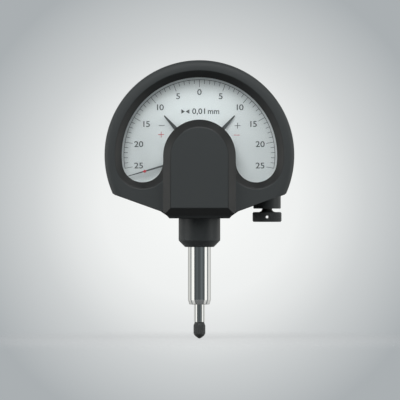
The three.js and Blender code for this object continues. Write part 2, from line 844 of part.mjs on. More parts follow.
// The lever turns beside the spindle; the intermediate arbor lies where both gear pairs mesh.
function trainPlaces() {
  const lever = new THREE.Vector2(leverArm, leverHeight - dialHeight);
  const pointerSpread = sectorModule * (sectorTeeth + pointerTeeth) / 2;
  const leverSpread = leverModule * (leverTeeth + intermediateTeeth) / 2;
  const gap = lever.length();
  const along = (pointerSpread * pointerSpread - leverSpread * leverSpread + gap * gap) / (2 * gap);
  const across = Math.sqrt(pointerSpread * pointerSpread - along * along);
  const toLever = lever.clone().divideScalar(gap);
  const side = new THREE.Vector2(-toLever.y, toLever.x);
  const intermediate = toLever.clone().multiplyScalar(along).addScaledVector(side, across);
  return { lever, intermediate };
}

function measuringLever() {
  const { lever, intermediate } = trainPlaces();
  const facing = intermediate.clone().sub(lever).angle();
  const backY = leverY + leverThickness;
  const rimRadius = leverModule * (leverTeeth / 2 - dedendum) - leverRimWidth;
  const rim = sectorRim(leverTeeth, leverModule, facing, -leverTeethBefore, leverTeethAfter, rimRadius);
  const rimMiddle = facing + Math.PI * (leverTeethAfter - leverTeethBefore) / leverTeeth;
  const longArm = taperedArm(rimMiddle, 0, rimRadius + leverRimWidth / 2, leverHubRadius, leverArmHalfWidth);
  const shortArm = taperedArm(Math.PI, 0, leverArm, leverHubRadius, leverNoseRadius);
  const nose = new THREE.Vector2(-leverArm, 0);
  const body = joined(
    slab(rim, leverY, backY),
    slab(longArm, leverY, backY),
    slab(shortArm, leverY, backY),
    pinAlongY(leverHubRadius, leverY, backY + leverGap),
    pinAlongY(leverNoseRadius, leverY, backY, nose),
  );
  return without(body, cutThrough(leverShaftRadius + runningFit, leverY, backY + leverGap));
}

function leverShaft() {
  return pinAlongY(leverShaftRadius, frontPlateY + endPlay, rearPlateBackY - endPlay);
}

function intermediateArbor() {
  const { lever, intermediate } = trainPlaces();
  const facing = lever.clone().sub(intermediate).angle();
  const rows = [
    [0, frontPlateY],
    [pivotRadius, frontPlateY],
    [pivotRadius, frontPlateBackY + endPlay],
    [arborRadius, frontPlateBackY + endPlay],
    [arborRadius, rearPlateY - endPlay],
    [pivotRadius, rearPlateY - endPlay],
    [pivotRadius, rearPlateBackY],
    [0, rearPlateBackY],
  ];
  const pinionFrontY = leverY - pinionOverhang;
  const pinionBackY = leverY + leverThickness + pinionOverhang;
  const pinion = slab(pinionShape(intermediateTeeth, leverModule, facing), pinionFrontY, pinionBackY);
  return joined(turned(rows), pinion);
}

function pointerSector() {
  const { intermediate } = trainPlaces();
  const facing = intermediate.clone().negate().angle();
  const backY = sectorY + sectorThickness;
  const rim = sectorRim(
    sectorTeeth, sectorModule, facing, -sectorTeethBefore, sectorTeethAfter, sectorHubRadius / 2,
  );
  const fan = slab(rim, sectorY, backY);
  const hub = pinAlongY(sectorHubRadius, sectorY, backY);
  return without(joined(fan, hub), cutThrough(arborRadius + staticFit, sectorY, backY));
}

function pointerArbor() {
  const { intermediate } = trainPlaces();
  const rows = [
    [0, pointerFrontY - pointerHubLength / 2],
    [pivotRadius, pointerFrontY - pointerHubLength / 2],
    [pivotRadius, frontPlateBackY + endPlay],
    [arborRadius, frontPlateBackY + endPlay],
    [arborRadius, rearPlateY - endPlay],
    [pivotRadius, rearPlateY - endPlay],
    [pivotRadius, rearPlateBackY],
    [0, rearPlateBackY],
  ];
  const pinion = slab(
    pinionShape(pointerTeeth, sectorModule, intermediate.angle()), sectorY - pinionOverhang,
    sectorY + sectorThickness + pinionOverhang,
  );
  return joined(turned(rows), pinion);
}

function jewel(frontY, thickness) {
  return turned(tubeRows(pivotRadius + runningFit, jewelRadius, frontY, frontY + thickness), smallSides);
}

function pillarPlaces() {
  return placesAround(pillarPitchRadius, pillarAngles);
}

// The holes that both plates share, through a plate between two depths.
function sharedPlateHoles(frontY, backY) {
  const { lever, intermediate } = trainPlaces();
  const centre = new THREE.Vector2();
  const hole = (radius, sides) => (place) => cutThrough(radius, frontY, backY, place, sides);
  return [
    ...[intermediate, centre].map(hole(jewelRadius + staticFit, smallSides)),
    ...[lever].map(hole(leverShaftRadius + staticFit, smallSides)),
    ...pillarPlaces().map(hole(pillarSpigotRadius + staticFit, tinySides)),
    ...adjusterPlaces().map(hole(adjusterShaftRadius + runningFit, smallSides)),
  ];
}

function movementFrontPlate() {
  const flangeBackY = hubFlangeY + hubFlangeThickness;
  const plate = slab(roundShape(plateRadius), frontPlateY, frontPlateBackY, largeSides);
  const boss = pinAlongY(dialSeatRadius, flangeBackY, frontPlateBackY - joinDepth, undefined, mediumSides);
  const seatRadius = hubSpigotRadius + staticFit;
  const hubSeat = pinAlongY(seatRadius, flangeBackY - cutOverrun, frontPlateY, undefined, mediumSides);
  const holes = sharedPlateHoles(flangeBackY, frontPlateBackY);
  return without(joined(plate, boss), hubSeat, ...holes);
}

function movementRearPlate() {
  const disc = slab(roundShape(plateRadius), rearPlateY, rearPlateBackY, largeSides);
  const arms = lugAngles.map((angle) => slab(
    taperedArm(angle, 0, lugPitchRadius, armHalfWidth, armHalfWidth), rearPlateY, rearPlateBackY,
  ));
  const eyes = placesAround(lugPitchRadius, lugAngles).map((place) => (
    pinAlongY(armHalfWidth, rearPlateY, rearPlateBackY, place)
  ));
  const trim = bodyBlock(housingWall + staticFit * 2, rearPlateY - cutOverrun, rearPlateBackY + cutOverrun);
  const footZ = neckLength + spigotLength + guideFootLift - dialHeight;
  const foot = slab(barShape(guideFootHalfWidth, footZ, 0), rearPlateY, rearPlateBackY);
  const slotTop = footZ + guideCollarHeight + spindleTravel() + endPlay * 2 + guideCollarGap;
  const slotShape = barShape(guideArmHalfWidth + runningFit, footZ - cutOverrun, slotTop);
  const slot = slab(slotShape, rearPlateY - cutOverrun, rearPlateBackY + cutOverrun);
  const hole = (radius) => (place) => cutThrough(radius, rearPlateY, rearPlateBackY, place, tinySides);
  const holes = [
    ...sharedPlateHoles(rearPlateY, rearPlateBackY),
    ...placesAround(lugPitchRadius, lugAngles).map(hole(screwRadius + staticFit)),
    ...[studPlace()].map(hole(studRadius + staticFit)),
    ...stopPinPlaces().map(hole(stopPinRadius + staticFit)),
  ];
  return without(joined(disc, ...arms, ...eyes, foot).intersect(trim), slot, ...holes);
}

// A shouldered pillar between the plates with a riveted spigot at each end.
function pillar() {
  const rows = [
    [0, frontPlateY],
    [pillarSpigotRadius, frontPlateY],
    [pillarSpigotRadius, frontPlateBackY],
    [pillarRadius, frontPlateBackY],
    [pillarRadius, rearPlateY],
    [pillarSpigotRadius, rearPlateY],
    [pillarSpigotRadius, rearPlateBackY],
    [0, rearPlateBackY],
  ];
  return turned(rows, tinySides);
}

// The stops stand on both sides of the lever's long arm and leave it the measuring travel.
function stopPinPlaces() {
  const { lever, intermediate } = trainPlaces();
  const facing = intermediate.clone().sub(lever).angle();
  const rimMiddle = facing + Math.PI * (leverTeethAfter - leverTeethBefore) / leverTeeth;
  const rimRadius = leverModule * (leverTeeth / 2 - dedendum) - leverRimWidth;
  const share = stopPinPitchRadius / rimRadius;
  const halfWidth = THREE.MathUtils.lerp(leverHubRadius, leverArmHalfWidth, share);
  const clear = Math.atan2(halfWidth + stopPinRadius + stopPinPlay, stopPinPitchRadius);
  const angles = [rimMiddle + clear, rimMiddle - clear - measuringTravel() / leverArm];
  return placesAround(stopPinPitchRadius, angles).map((place) => place.add(lever));
}

function stopPin() {
  return pinAlongY(stopPinRadius, leverY - endPlay, rearPlateBackY - endPlay, undefined, tinySides);
}

// The scale has this many divisions on each side of zero; the pointer rests and stops beyond them.
function measuringTravel() {
  return 2 * pointerRestAngle / divisionAngle * division;
}

function spindleTravel() {
  return measuringTravel() + freeLift;
}

function studPlace() {
  return polar(hairspringOuter + hairspringStrip / 2 + studRadius, 2 * Math.PI * hairspringTurns);
}

function hairspring() {
  const shape = spiralStrip(hairspringInner, hairspringOuter, hairspringTurns, hairspringStrip);
  return slab(shape, hairspringY, hairspringY + hairspringHeight);
}

function hairspringCollet() {
  const frontY = hairspringY + (hairspringHeight - colletLength) / 2;
  const outer = hairspringInner - hairspringStrip / 2 - staticFit;
  return turned(tubeRows(arborRadius + staticFit, outer, frontY, frontY + colletLength));
}

function hairspringStud() {
  return pinAlongY(studRadius, hairspringY, rearPlateBackY, undefined, tinySides);
}

// Spindle group

function neck() {
  const spigotTop = neckLength + spigotLength;
  const rows = [
    [shankRadius + staticFit, 0],
    [neckRadius - neckChamferWidth, 0],
    [neckRadius, neckChamferHeight],
    [neckRadius, neckLength],
    [spigotRadius, neckLength],
    [spigotRadius, spigotTop],
    [neckBoreRadius, spigotTop],
    [neckBoreRadius, shankTop],
    [shankRadius + staticFit, shankTop],
    [shankRadius + staticFit, 0],
  ];
  return turnedUpright(rows, mediumSides);
}

function neckLockRing() {
  const foot = neckLength + housingWall;
  const rows = tubeRows(spigotRadius + staticFit, lockRingRadius, foot, foot + lockRingHeight);
  return turnedUpright(rows, mediumSides);
}

function clampingShank() {
  const rows = [
    [shankBoreRadius, -shankReach],
    [shankRadius - shankChamferWidth, -shankReach],
    [shankRadius, shankChamferHeight - shankReach],
    [shankRadius, shankTop],
    [shankBoreRadius, shankTop],
    [shankBoreRadius, -shankReach],
  ];
  return turnedUpright(rows, mediumSides);
}

function spindleSeal() {
  const foot = sealInset - shankReach;
  const rows = tubeRows(spindleRadius + runningFit, shankBoreRadius - staticFit, foot, foot + sealHeight);
  return turnedUpright(rows, mediumSides);
}

// A thin sleeve with rows of balls that roll between the spindle and the shank.
function ballCage(foot, rows) {
  const middle = (spindleRadius + shankBoreRadius) / 2;
  const height = ballPitch * (rows - 1) + cageMargin * 2;
  const sleeve = turnedUpright(tubeRows(middle - cageWall / 2, middle + cageWall / 2, foot, foot + height));
  const balls = [];
  for (let row = 0; row < rows; row += 1) {
    for (let place = 0; place < ballsPerRow; place += 1) {
      const spot = polar(middle, 2 * Math.PI * (place + row / 2) / ballsPerRow);
      const ball = new THREE.SphereGeometry(ballRadius, ballSides, ballSides / 2);
      ball.translate(spot.x, spot.y, foot + cageMargin + row * ballPitch);
      balls.push(solidOf(ball));
    }
  }
  return joined(sleeve, ...balls);
}

function spindleTop() {
  return driverTop() + driverRingHeight + spindleTopMargin;
}

function driverTop() {
  return leverHeight - leverNoseRadius - dogGap;
}

function spindle() {
  const rows = [
    [0, spindleBoreDepth - spindleReach],
    [spindleBoreRadius, spindleBoreDepth - spindleReach],
    [spindleBoreRadius, -spindleReach],
    [spindleRadius, -spindleReach],
    [spindleRadius, spindleTop()],
    [0, spindleTop()],
  ];
  return turnedUpright(rows, mediumSides);
}

// A barrel with a rounded measuring end and a threaded stub, drawn from its seat downwards.
function contactPoint() {
  const seat = -spindleReach;
  const stubTop = seat + contactStubLength;
  const barrel = contactShares.map(([across, down]) => [across * contactRadius, seat - down * contactLength]);
  const rows = [...barrel.reverse(), [contactStubRadius, seat], [contactStubRadius, stubTop], [0, stubTop]];
  return turnedUpright(rows, mediumSides);
}

function springCollar() {
  const top = springCollarFoot + springCollarHeight;
  const rows = tubeRows(spindleRadius + staticFit, spindleRadius + springCollarWidth, springCollarFoot, top);
  return turnedUpright(rows, mediumSides);
}

function springSeat() {
  const foot = springSeatTop - springSeatHeight;
  const rows = tubeRows(spindleRadius + runningFit * 2, shankBoreRadius - staticFit, foot, springSeatTop);
  return turnedUpright(rows, mediumSides);
}

function springMeanRadius() {
  return (spindleRadius + shankBoreRadius) / 2;
}

function measuringSpring() {
  const bottom = springCollarFoot + springCollarHeight + springEndGap;
  const top = springSeatTop - springSeatHeight - springEndGap;
  return coilSpring(springMeanRadius(), bottom, top, measuringSpringTurns);
}

function guideCollarFoot() {
  return neckLength + spigotLength + guideCollarGap;
}

// The collar's arm runs in the rear plate's slot and keeps the spindle from turning.
function guideCollar() {
  const foot = guideCollarFoot();
  const top = foot + guideCollarHeight;
  const ring = turnedUpright(rodRows(guideCollarRadius, foot, top), mediumSides);
  const arm = upright(barShape(guideArmHalfWidth, 0, guideArmReach), foot, top);
  const boreRows = rodRows(spindleRadius + staticFit, foot - cutOverrun, top + cutOverrun);
  const bore = turnedUpright(boreRows, mediumSides);
  return without(joined(ring, arm), bore);
}

function shockSpring() {
  const bottom = guideCollarFoot() + guideCollarHeight + springEndGap;
  const top = driverTop() - driverHeight - springEndGap;
  return coilSpring(springMeanRadius(), bottom, top, shockSpringTurns);
}

// A sleeve that floats on the spindle; its dog lifts the nose of the measuring lever.
function driverSleeve() {
  const top = driverTop();
  const foot = top - driverHeight;
  const ring = turnedUpright(rodRows(driverRadius, foot, top), mediumSides);
  const dog = upright(barShape(dogHalfWidth, leverY - dogOverhang, 0), top - dogHeight, top);
  const boreRows = rodRows(spindleRadius + runningFit, foot - cutOverrun, top + cutOverrun);
  const bore = turnedUpright(boreRows, mediumSides);
  return without(joined(ring, dog), bore);
}

function driverRing() {
  const foot = driverTop() + endPlay / 2;
  const rows = tubeRows(spindleRadius + staticFit, driverRingRadius, foot, foot + driverRingHeight);
  return turnedUpright(rows, mediumSides);
}

// Fine adjustment

function adjustBush() {
  const rows = [
    [adjustShaftRadius + runningFit, adjustBossFoot],
    [bushRadius, adjustBossFoot],
    [bushRadius, adjustBossTop],
    [bushFlangeRadius, adjustBossTop],
    [bushFlangeRadius, adjustBossTop + bushFlangeHeight],
    [adjustShaftRadius + runningFit, adjustBossTop + bushFlangeHeight],
    [adjustShaftRadius + runningFit, adjustBossFoot],
  ];
  return turnedUpright(rows, smallSides);
}

// Knob, shaft and leadscrew in one turned piece, with a hole for a pin key across the knob.
function adjustScrew() {
  const knobTop = knobFoot + knobHeight;
  const shaftTop = adjustClipFoot + adjustClipHeight;
  const threadTop = adjustNutFoot + adjustNutHeight + adjustTravel + adjustThreadRadius;
  const fillet = Array.from({ length: knobFilletSteps + 1 }, (none, step) => {
    const turn = Math.PI / 2 * (1 - step / knobFilletSteps);
    return [
      adjustShaftRadius + knobFillet * (1 - Math.cos(turn)),
      knobTop + knobFillet * (1 - Math.sin(turn)),
    ];
  });
  const rows = [
    [0, knobFoot],
    [knobRadius - knobChamfer, knobFoot],
    [knobRadius, knobFoot + knobChamfer],
    [knobRadius, knobTop - knobChamfer],
    [knobRadius - knobChamfer, knobTop],
    ...fillet,
    [adjustShaftRadius, shaftTop],
    [adjustThreadRadius, shaftTop],
    [adjustThreadRadius, threadTop],
    [0, threadTop],
  ];
  const holeLength = (knobRadius + cutOverrun) * 2;
  const pinHole = new THREE.CylinderGeometry(knobHoleRadius, knobHoleRadius, holeLength, tinySides);
  pinHole.translate(0, 0, knobFoot + knobHeight / 2);
  return without(turnedUpright(rows, mediumSides), solidOf(pinHole));
}

function adjustClip() {
  const top = adjustClipFoot + adjustClipHeight;
  return turnedUpright(tubeRows(adjustShaftRadius + staticFit, adjustClipRadius, adjustClipFoot, top));
}

// The nut rides on the leadscrew and its pin turns the dial carrier.
function adjustNut() {
  const top = adjustNutFoot + adjustNutHeight;
  const block = turnedUpright(rodRows(adjustNutRadius, adjustNutFoot, top));
  const pinFrontY = carrierFrontY + endPlay - adjustY;
  const pinPlace = new THREE.Vector2(0, adjustNutFoot + adjustNutHeight / 2);
  const pin = pinAlongY(adjustPinRadius, pinFrontY, 0, pinPlace);
  const boreRadius = adjustThreadRadius + runningFit;
  const bore = turnedUpright(rodRows(boreRadius, adjustNutFoot - cutOverrun, top + cutOverrun));
  return without(joined(block, pin), bore);
}

// Materials
const looks = {
  blackPlastic: { color: 0x35383a, roughness: 0.55, metalness: 0 },
  blackMetal: { color: 0x303335, roughness: 0.5, metalness: 0.3 },
  chrome: { color: 0xd8dadb, roughness: 0.08, metalness: 1 },
  steel: { color: 0xa9adb0, roughness: 0.3, metalness: 1 },
  carbide: { color: 0x3c3e40, roughness: 0.45, metalness: 0.6 },
  brass: { color: 0xc9a24a, roughness: 0.3, metalness: 1 },
  dialGrey: { color: 0xc6cccc, roughness: 0.5, metalness: 0.1 },
  clear: { color: 0xf2f6f6, roughness: 0.05, metalness: 0, transparent: true, opacity: 0.25 },
  ruby: { color: 0xa02040, roughness: 0.15, metalness: 0 },
  rubber: { color: 0x1d1d1d, roughness: 0.8, metalness: 0 },
  pointerBlack: { color: 0x2a3034, roughness: 0.5, metalness: 0.2 },
};

// Assembly
const comparator = new THREE.Group();
const dialGroup = new THREE.Group();
const spindleGroup = new THREE.Group();
const adjustGroup = new THREE.Group();
dialGroup.position.set(0, 0, dialHeight);
adjustGroup.position.set(adjustX, adjustY, 0);
comparator.add(dialGroup, spindleGroup, adjustGroup);

function add(name, solid, look, group, place = new THREE.Vector2()) {
  const { vertProperties, triVerts } = solid.getMesh();
  const geometry = new THREE.BufferGeometry();
  geometry.setAttribute('position', new THREE.BufferAttribute(vertProperties, 3));
  geometry.setIndex(new THREE.BufferAttribute(triVerts, 1));
  geometry.computeVertexNormals();
  const mesh = new THREE.Mesh(geometry, new THREE.MeshStandardMaterial(looks[look]));
  mesh.name = name;
  mesh.position.set(place.x, 0, place.y);
  group.add(mesh);
  return mesh;
}

add('housing', housing(), 'blackPlastic', dialGroup);
add('window', windowPane(), 'clear', dialGroup);
add('rear_gasket', rearGasket(), 'rubber', dialGroup);
add('rear_cover', rearCover(), 'blackMetal', dialGroup);
coverScrewPlaces().forEach((place, step) => {
  const screw = slottedScrew(
    screwRadius, screwHeadRadius, screwHeadHeight, coverBackY - screwHeadHeight,
    screwGrip + coverThickness + gasketThickness - screwHeadHeight - endPlay, place,
  );
  add(`cover_screw_${step + 1}`, screw, 'steel', dialGroup);
});

add('dial_plate', dialPlate(), 'dialGrey', dialGroup);
add('dial_carrier', dialCarrier(), 'brass', dialGroup);
dialScrewPlaces().forEach((place, step) => {
  add(`dial_screw_${step + 1}`, dialScrew(place), 'steel', dialGroup);
});
add('marker_hub', markerHub(), 'brass', dialGroup);
const leftMarker = toleranceMarker(leftMarkerY, -markerAngle, leftAdjusterAngle);
const rightMarker = toleranceMarker(rightMarkerY, markerAngle, rightAdjusterAngle);
add('left_tolerance_marker', leftMarker, 'pointerBlack', dialGroup);
add('right_tolerance_marker', rightMarker, 'pointerBlack', dialGroup);
add('left_marker_adjuster', markerAdjuster(leftMarkerY, leftAdjusterAngle), 'steel', dialGroup);
add('right_marker_adjuster', markerAdjuster(rightMarkerY, rightAdjusterAngle), 'steel', dialGroup);
add('pointer', pointerBody(), 'pointerBlack', dialGroup).rotation.y = -pointerRestAngle;

const { lever, intermediate } = trainPlaces();
add('movement_front_plate', movementFrontPlate(), 'brass', dialGroup);
add('movement_rear_plate', movementRearPlate(), 'brass', dialGroup);
pillarPlaces().forEach((place, step) => {
  add(`movement_pillar_${step + 1}`, pillar(), 'steel', dialGroup, place);
});
placesAround(lugPitchRadius, lugAngles).forEach((place, step) => {
  const grip = screwGrip + rearPlateThickness - endPlay;
  const screw = slottedScrew(screwRadius, screwHeadRadius, screwHeadHeight, rearPlateBackY, grip, place);
  add(`movement_screw_${step + 1}`, screw, 'steel', dialGroup);
});
add('measuring_lever', measuringLever(), 'steel', dialGroup, lever);
add('lever_shaft', leverShaft(), 'steel', dialGroup, lever);
add('intermediate_arbor', intermediateArbor(), 'steel', dialGroup, intermediate);
add('pointer_sector', pointerSector(), 'brass', dialGroup, intermediate);
add('pointer_arbor', pointerArbor(), 'steel', dialGroup);
add('intermediate_front_jewel', jewel(frontPlateY, frontPlateThickness), 'ruby', dialGroup, intermediate);
add('intermediate_rear_jewel', jewel(rearPlateY, rearPlateThickness), 'ruby', dialGroup, intermediate);
add('pointer_front_jewel', jewel(frontPlateY, frontPlateThickness), 'ruby', dialGroup);
add('pointer_rear_jewel', jewel(rearPlateY, rearPlateThickness), 'ruby', dialGroup);
stopPinPlaces().forEach((place, step) => {
  add(`lever_stop_pin_${step + 1}`, stopPin(), 'steel', dialGroup, place);
});
add('hairspring', hairspring(), 'steel', dialGroup);
add('hairspring_collet', hairspringCollet(), 'brass', dialGroup);
add('hairspring_stud', hairspringStud(), 'brass', dialGroup, studPlace());

add('neck', neck(), 'blackMetal', spindleGroup);
add('neck_lock_ring', neckLockRing(), 'steel', spindleGroup);
add('clamping_shank', clampingShank(), 'chrome', spindleGroup);
add('spindle_seal', spindleSeal(), 'rubber', spindleGroup);
add('lower_ball_cage', ballCage(lowerCageFoot, lowerCageRows), 'brass', spindleGroup);
add('upper_ball_cage', ballCage(upperCageFoot, upperCageRows), 'brass', spindleGroup);
add('spring_seat', springSeat(), 'brass', spindleGroup);
add('measuring_spring', measuringSpring(), 'steel', spindleGroup);
add('spring_collar', springCollar(), 'steel', spindleGroup);
add('spindle', spindle(), 'chrome', spindleGroup);
add('contact_point', contactPoint(), 'carbide', spindleGroup);
add('guide_collar', guideCollar(), 'brass', spindleGroup);
add('shock_spring', shockSpring(), 'steel', spindleGroup);
add('driver_sleeve', driverSleeve(), 'steel', spindleGroup);
add('driver_ring', driverRing(), 'steel', spindleGroup);

add('adjust_bush', adjustBush(), 'brass', adjustGroup);
add('adjust_screw', adjustScrew(), 'blackPlastic', adjustGroup);
add('adjust_clip', adjustClip(), 'steel', adjustGroup);
add('adjust_nut', adjustNut(), 'brass', adjustGroup);

export default comparator;
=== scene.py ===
"""Looks of the dial comparator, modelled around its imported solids. Metres, +Z up, the dial faces -Y."""

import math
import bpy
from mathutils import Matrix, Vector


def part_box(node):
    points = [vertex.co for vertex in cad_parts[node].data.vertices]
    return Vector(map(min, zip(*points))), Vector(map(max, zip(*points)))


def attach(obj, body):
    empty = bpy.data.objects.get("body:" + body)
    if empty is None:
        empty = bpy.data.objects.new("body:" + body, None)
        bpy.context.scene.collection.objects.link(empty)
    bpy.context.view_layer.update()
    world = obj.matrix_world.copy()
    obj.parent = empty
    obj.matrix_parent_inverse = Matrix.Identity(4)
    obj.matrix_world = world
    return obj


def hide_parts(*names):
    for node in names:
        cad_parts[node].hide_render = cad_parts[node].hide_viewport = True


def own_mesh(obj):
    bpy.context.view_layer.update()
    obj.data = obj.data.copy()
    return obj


bl_info = {
    "name": "Dial comparator looks",
    "version": (1, 0, 0),
    "blender": (4, 5, 0),
    "location": "3D View > Sidebar > Comparator",
    "description": "Models the housing, dial, spindle and finishes of a dial comparator",
    "category": "Object",
}

import bpy
from mathutils import Vector

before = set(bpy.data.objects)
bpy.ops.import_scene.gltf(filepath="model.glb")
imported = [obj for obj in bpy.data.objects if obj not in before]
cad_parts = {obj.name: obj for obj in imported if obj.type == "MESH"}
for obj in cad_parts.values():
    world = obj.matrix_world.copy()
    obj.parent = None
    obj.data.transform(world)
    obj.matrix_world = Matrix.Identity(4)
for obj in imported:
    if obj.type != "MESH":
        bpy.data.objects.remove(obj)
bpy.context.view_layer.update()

# Units and shared small sizes
mm = 0.001
weld = 0.002 * mm
coarse_weld = 0.08 * mm
overrun = 1 * mm
print_proud = 0.02 * mm
fine_edge = 0.12 * mm
smooth_angle = math.radians(32)
fine_sides = 192
round_sides = 96
small_sides = 48
floor_radius = 0.16

# Brightness of the room that polished parts mirror, by degrees round from the camera to the right
room_bands = (
    (-176, 0.35), (-150, 0.45), (-125, 0.7), (-108, 0.85), (-100, 0.16), (-92, 0.16), (-86, 1.1), (-58, 1.25),
    (-52, 0.1), (-36, 0.09), (-25, 0.14), (-10, 0.09), (8, 0.1), (18, 0.17), (34, 0.14), (46, 0.085),
    (52, 0.09), (60, 1.25), (82, 1.1), (88, 0.16), (96, 0.16), (104, 0.85), (130, 0.8), (150, 0.5),
    (176, 0.35),
)

# Share of that brightness by the height of the mirrored direction
room_heights = ((-0.85, 0.06), (-0.6, 0.5), (-0.2, 1), (0.2, 1), (0.6, 0.4), (0.9, 0.45))

# Share of the edge's colour in the backdrop, by the way from its middle to its corners
backdrop_shares = ((0, 0), (0.4, 0.17), (0.54, 0.36), (0.68, 0.61), (0.8, 0.76), (1, 1))

# Places taken from the solids
housing_low, housing_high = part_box("housing")
dial_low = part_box("dial_plate")[0]
neck_low, neck_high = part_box("neck")
shank_low, shank_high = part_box("clamping_shank")
spindle_low, spindle_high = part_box("spindle")
contact_low, contact_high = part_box("contact_point")
knob_low, knob_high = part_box("adjust_screw")
cover_low, cover_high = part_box("rear_cover")
pointer_low, pointer_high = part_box("pointer")
housing_radius = (housing_high.x - housing_low.x) / 2
dial_centre = Vector((0, 0, housing_high.z - housing_radius))


def axis_of(node, axis):
    """Where a turned solid's axis stands: its middle, at zero along the axis."""
    low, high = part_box(node)
    middle = Vector([(start + end) / 2 for start, end in zip(low, high)])
    middle["XYZ".index(axis)] = 0
    return middle


# Sizes and colours that a user would change


def length(label, description, value):
    return bpy.props.FloatProperty(
        name=label, description=description, default=value, min=0, precision=5, unit="LENGTH"
    )


def offset(label, description, value):
    return bpy.props.FloatProperty(name=label, description=description, default=value, unit="LENGTH")


def turn_angle(label, description, degrees):
    return bpy.props.FloatProperty(
        name=label, description=description, default=math.radians(degrees), subtype="ANGLE"
    )


def paint(label, description, value):
    return bpy.props.FloatVectorProperty(
        name=label, description=description, default=value, size=3, min=0, max=1, subtype="COLOR"
    )


def power(label, description, value):
    return bpy.props.FloatProperty(name=label, description=description, default=value, min=0, unit="POWER")


def share(label, description, value):
    return bpy.props.FloatProperty(name=label, description=description, default=value, min=0, max=1)


class HousingSizes(bpy.types.PropertyGroup):
    """Sizes of the moulded housing."""

    crown_width: length("Crown width", "Width of the rounded front edge", 3 * mm)
    crown_depth: length("Crown depth", "Depth of the rounded front edge", 1.8 * mm)
    plateau_rise: length("Plate rise", "How far the raised plate stands proud of the front", 2 * mm)
    plateau_bevel: length("Plate bevel", "Width of the raised plate's slope", 2.7 * mm)
    plateau_drop: length("Plate foot", "From the dial centre down to the raised plate's foot", 21.15 * mm)
    arch_radius: length("Arch radius", "Half the raised plate's width", 12.7 * mm)
    arch_drop: length("Arch drop", "From the dial centre down to the arch's centre", 0.3 * mm)
    window_radius: length("Window radius", "Radius of the window's round", 27.2 * mm)
    window_bevel: length("Window bevel", "Width of the slope round the window", 2.4 * mm)
    window_slope: length("Window slope", "Depth of the slope round the window", 1.9 * mm)
    lobe_drop: length("Lobe drop", "From the dial centre down to the lobes' centres", 2.35 * mm)
    wall: length("Wall", "Thickness of the side wall", 2.2 * mm)
    front_wall: length("Front wall", "Thickness of the front", 3 * mm)
    shoulder_angle: turn_angle("Shoulder angle", "Slope of the shoulders", 19.8)
    foot_half_width: length("Foot half width", "Half the width of the flat foot", 10.5 * mm)
    foot_chamfer_width: length("Foot chamfer width", "Width of the foot's corner", 1.95 * mm)
    foot_chamfer_height: length("Foot chamfer height", "Height of the foot's corner", 2.2 * mm)
    edge_round: length("Edge rounding", "Rounding of the moulded edges", 0.35 * mm)


class DialSizes(bpy.types.PropertyGroup):
    """Sizes of the printed dial, its pointer and its tolerance markers."""

    arc_radius: length("Arc radius", "Radius of the graduation's arc line", 26.46 * mm)
    line_width: length("Line width", "Width of the graduation lines", 0.17 * mm)
    long_tick: length("Long tick", "Length of the numbered lines", 2.65 * mm)
    short_tick: length("Short tick", "Length of the other lines", 1.4 * mm)
    numeral_radius: length("Numeral radius", "Radius that the numbers stand on", 22.0 * mm)
    numeral_height: length("Numeral height", "Height of the numbers", 1.98 * mm)
    legend_height: length("Legend height", "Height of the scale legend", 1.9 * mm)
    legend_rise: length("Legend rise", "From the dial centre up to the legend", 15.3 * mm)
    pointer_width: length("Pointer width", "Width of the pointer at its root", 1.1 * mm)
    pointer_tip: length("Pointer tip", "Width of the pointer at its tip", 0.28 * mm)
    marker_width: length("Marker width", "Width of a tolerance marker at its root", 1.3 * mm)
    marker_tip: length("Marker tip", "Width of a tolerance marker at its tip", 0.45 * mm)


class Finishes(bpy.types.PropertyGroup):
    """Colours of the finishes."""

    plastic: paint("Plastic", "Colour of the moulded housing", (0.047, 0.052, 0.053))
    lacquer: paint("Lacquer", "Colour of the blackened metal", (0.036, 0.040, 0.041))
    dial: paint("Dial", "Colour of the dial's lacquer", (0.535, 0.570, 0.578))
    print_dark: paint("Dark print", "Colour of the dial's printing", (0.045, 0.050, 0.052))
    print_red: paint("Red print", "Colour of the red signs and the pointer's mark", (0.40, 0.022, 0.04))
    chrome: paint("Chrome", "Colour of the chromed steel", (0.80, 0.81, 0.80))
    backdrop_middle: paint("Backdrop middle", "Backdrop colour behind the part", (0.95, 0.963, 0.953))
    backdrop_edge: paint("Backdrop edge", "Backdrop colour at the picture's corners", (0.402, 0.43, 0.445))
    room_light: paint("Room", "Colour of the soft boxes mirrored in the chrome", (1.0, 1.0, 0.97))
    room_shade: paint("Room shade", "Tint of the dark part of the room", (0.88, 1.0, 1.04))
    floor: paint("Floor", "Colour of the floor", (0.95, 0.955, 0.96))


class StageSettings(bpy.types.PropertyGroup):
    """Camera and lamps."""

    camera_distance: length("Camera distance", "From the camera to the dial axis", 2.0)
    frame_height: length("Frame height", "Height of the picture at the dial axis", 140.75 * mm)
    camera_x: offset("Camera side", "Sideways place of the camera", 0.2 * mm)
    camera_z: offset("Camera height", "Height of the camera", 16.54 * mm)
    top_light: power("Top light", "Power of the top lamp", 0.31)
    side_light: power("Side lights", "Power of the left lamp, which the right one exceeds a little", 4.4)
    front_light: power("Front light", "Power of the front lamp", 6.2)
    fill: share("Fill", "Strength of the surrounding light", 0.12)


# Drawing outlines


def begin(name, at):
    """Starts a new object as one selected vertex in edit mode."""
    bpy.ops.object.select_all(action="DESELECT")
    bpy.ops.mesh.primitive_plane_add(size=mm)
    piece = bpy.context.object
    piece.name = name
    piece.data.name = name
    bpy.ops.object.mode_set(mode="EDIT")
    bpy.ops.mesh.select_mode(type="VERT")
    bpy.ops.mesh.select_all(action="SELECT")
    bpy.ops.mesh.merge(type="CENTER")
    bpy.ops.transform.translate(value=at)


def draw_to(step):
    """Draws a straight line from the selected vertex."""
    bpy.ops.mesh.extrude_vertices_move(TRANSFORM_OT_translate={"value": step})


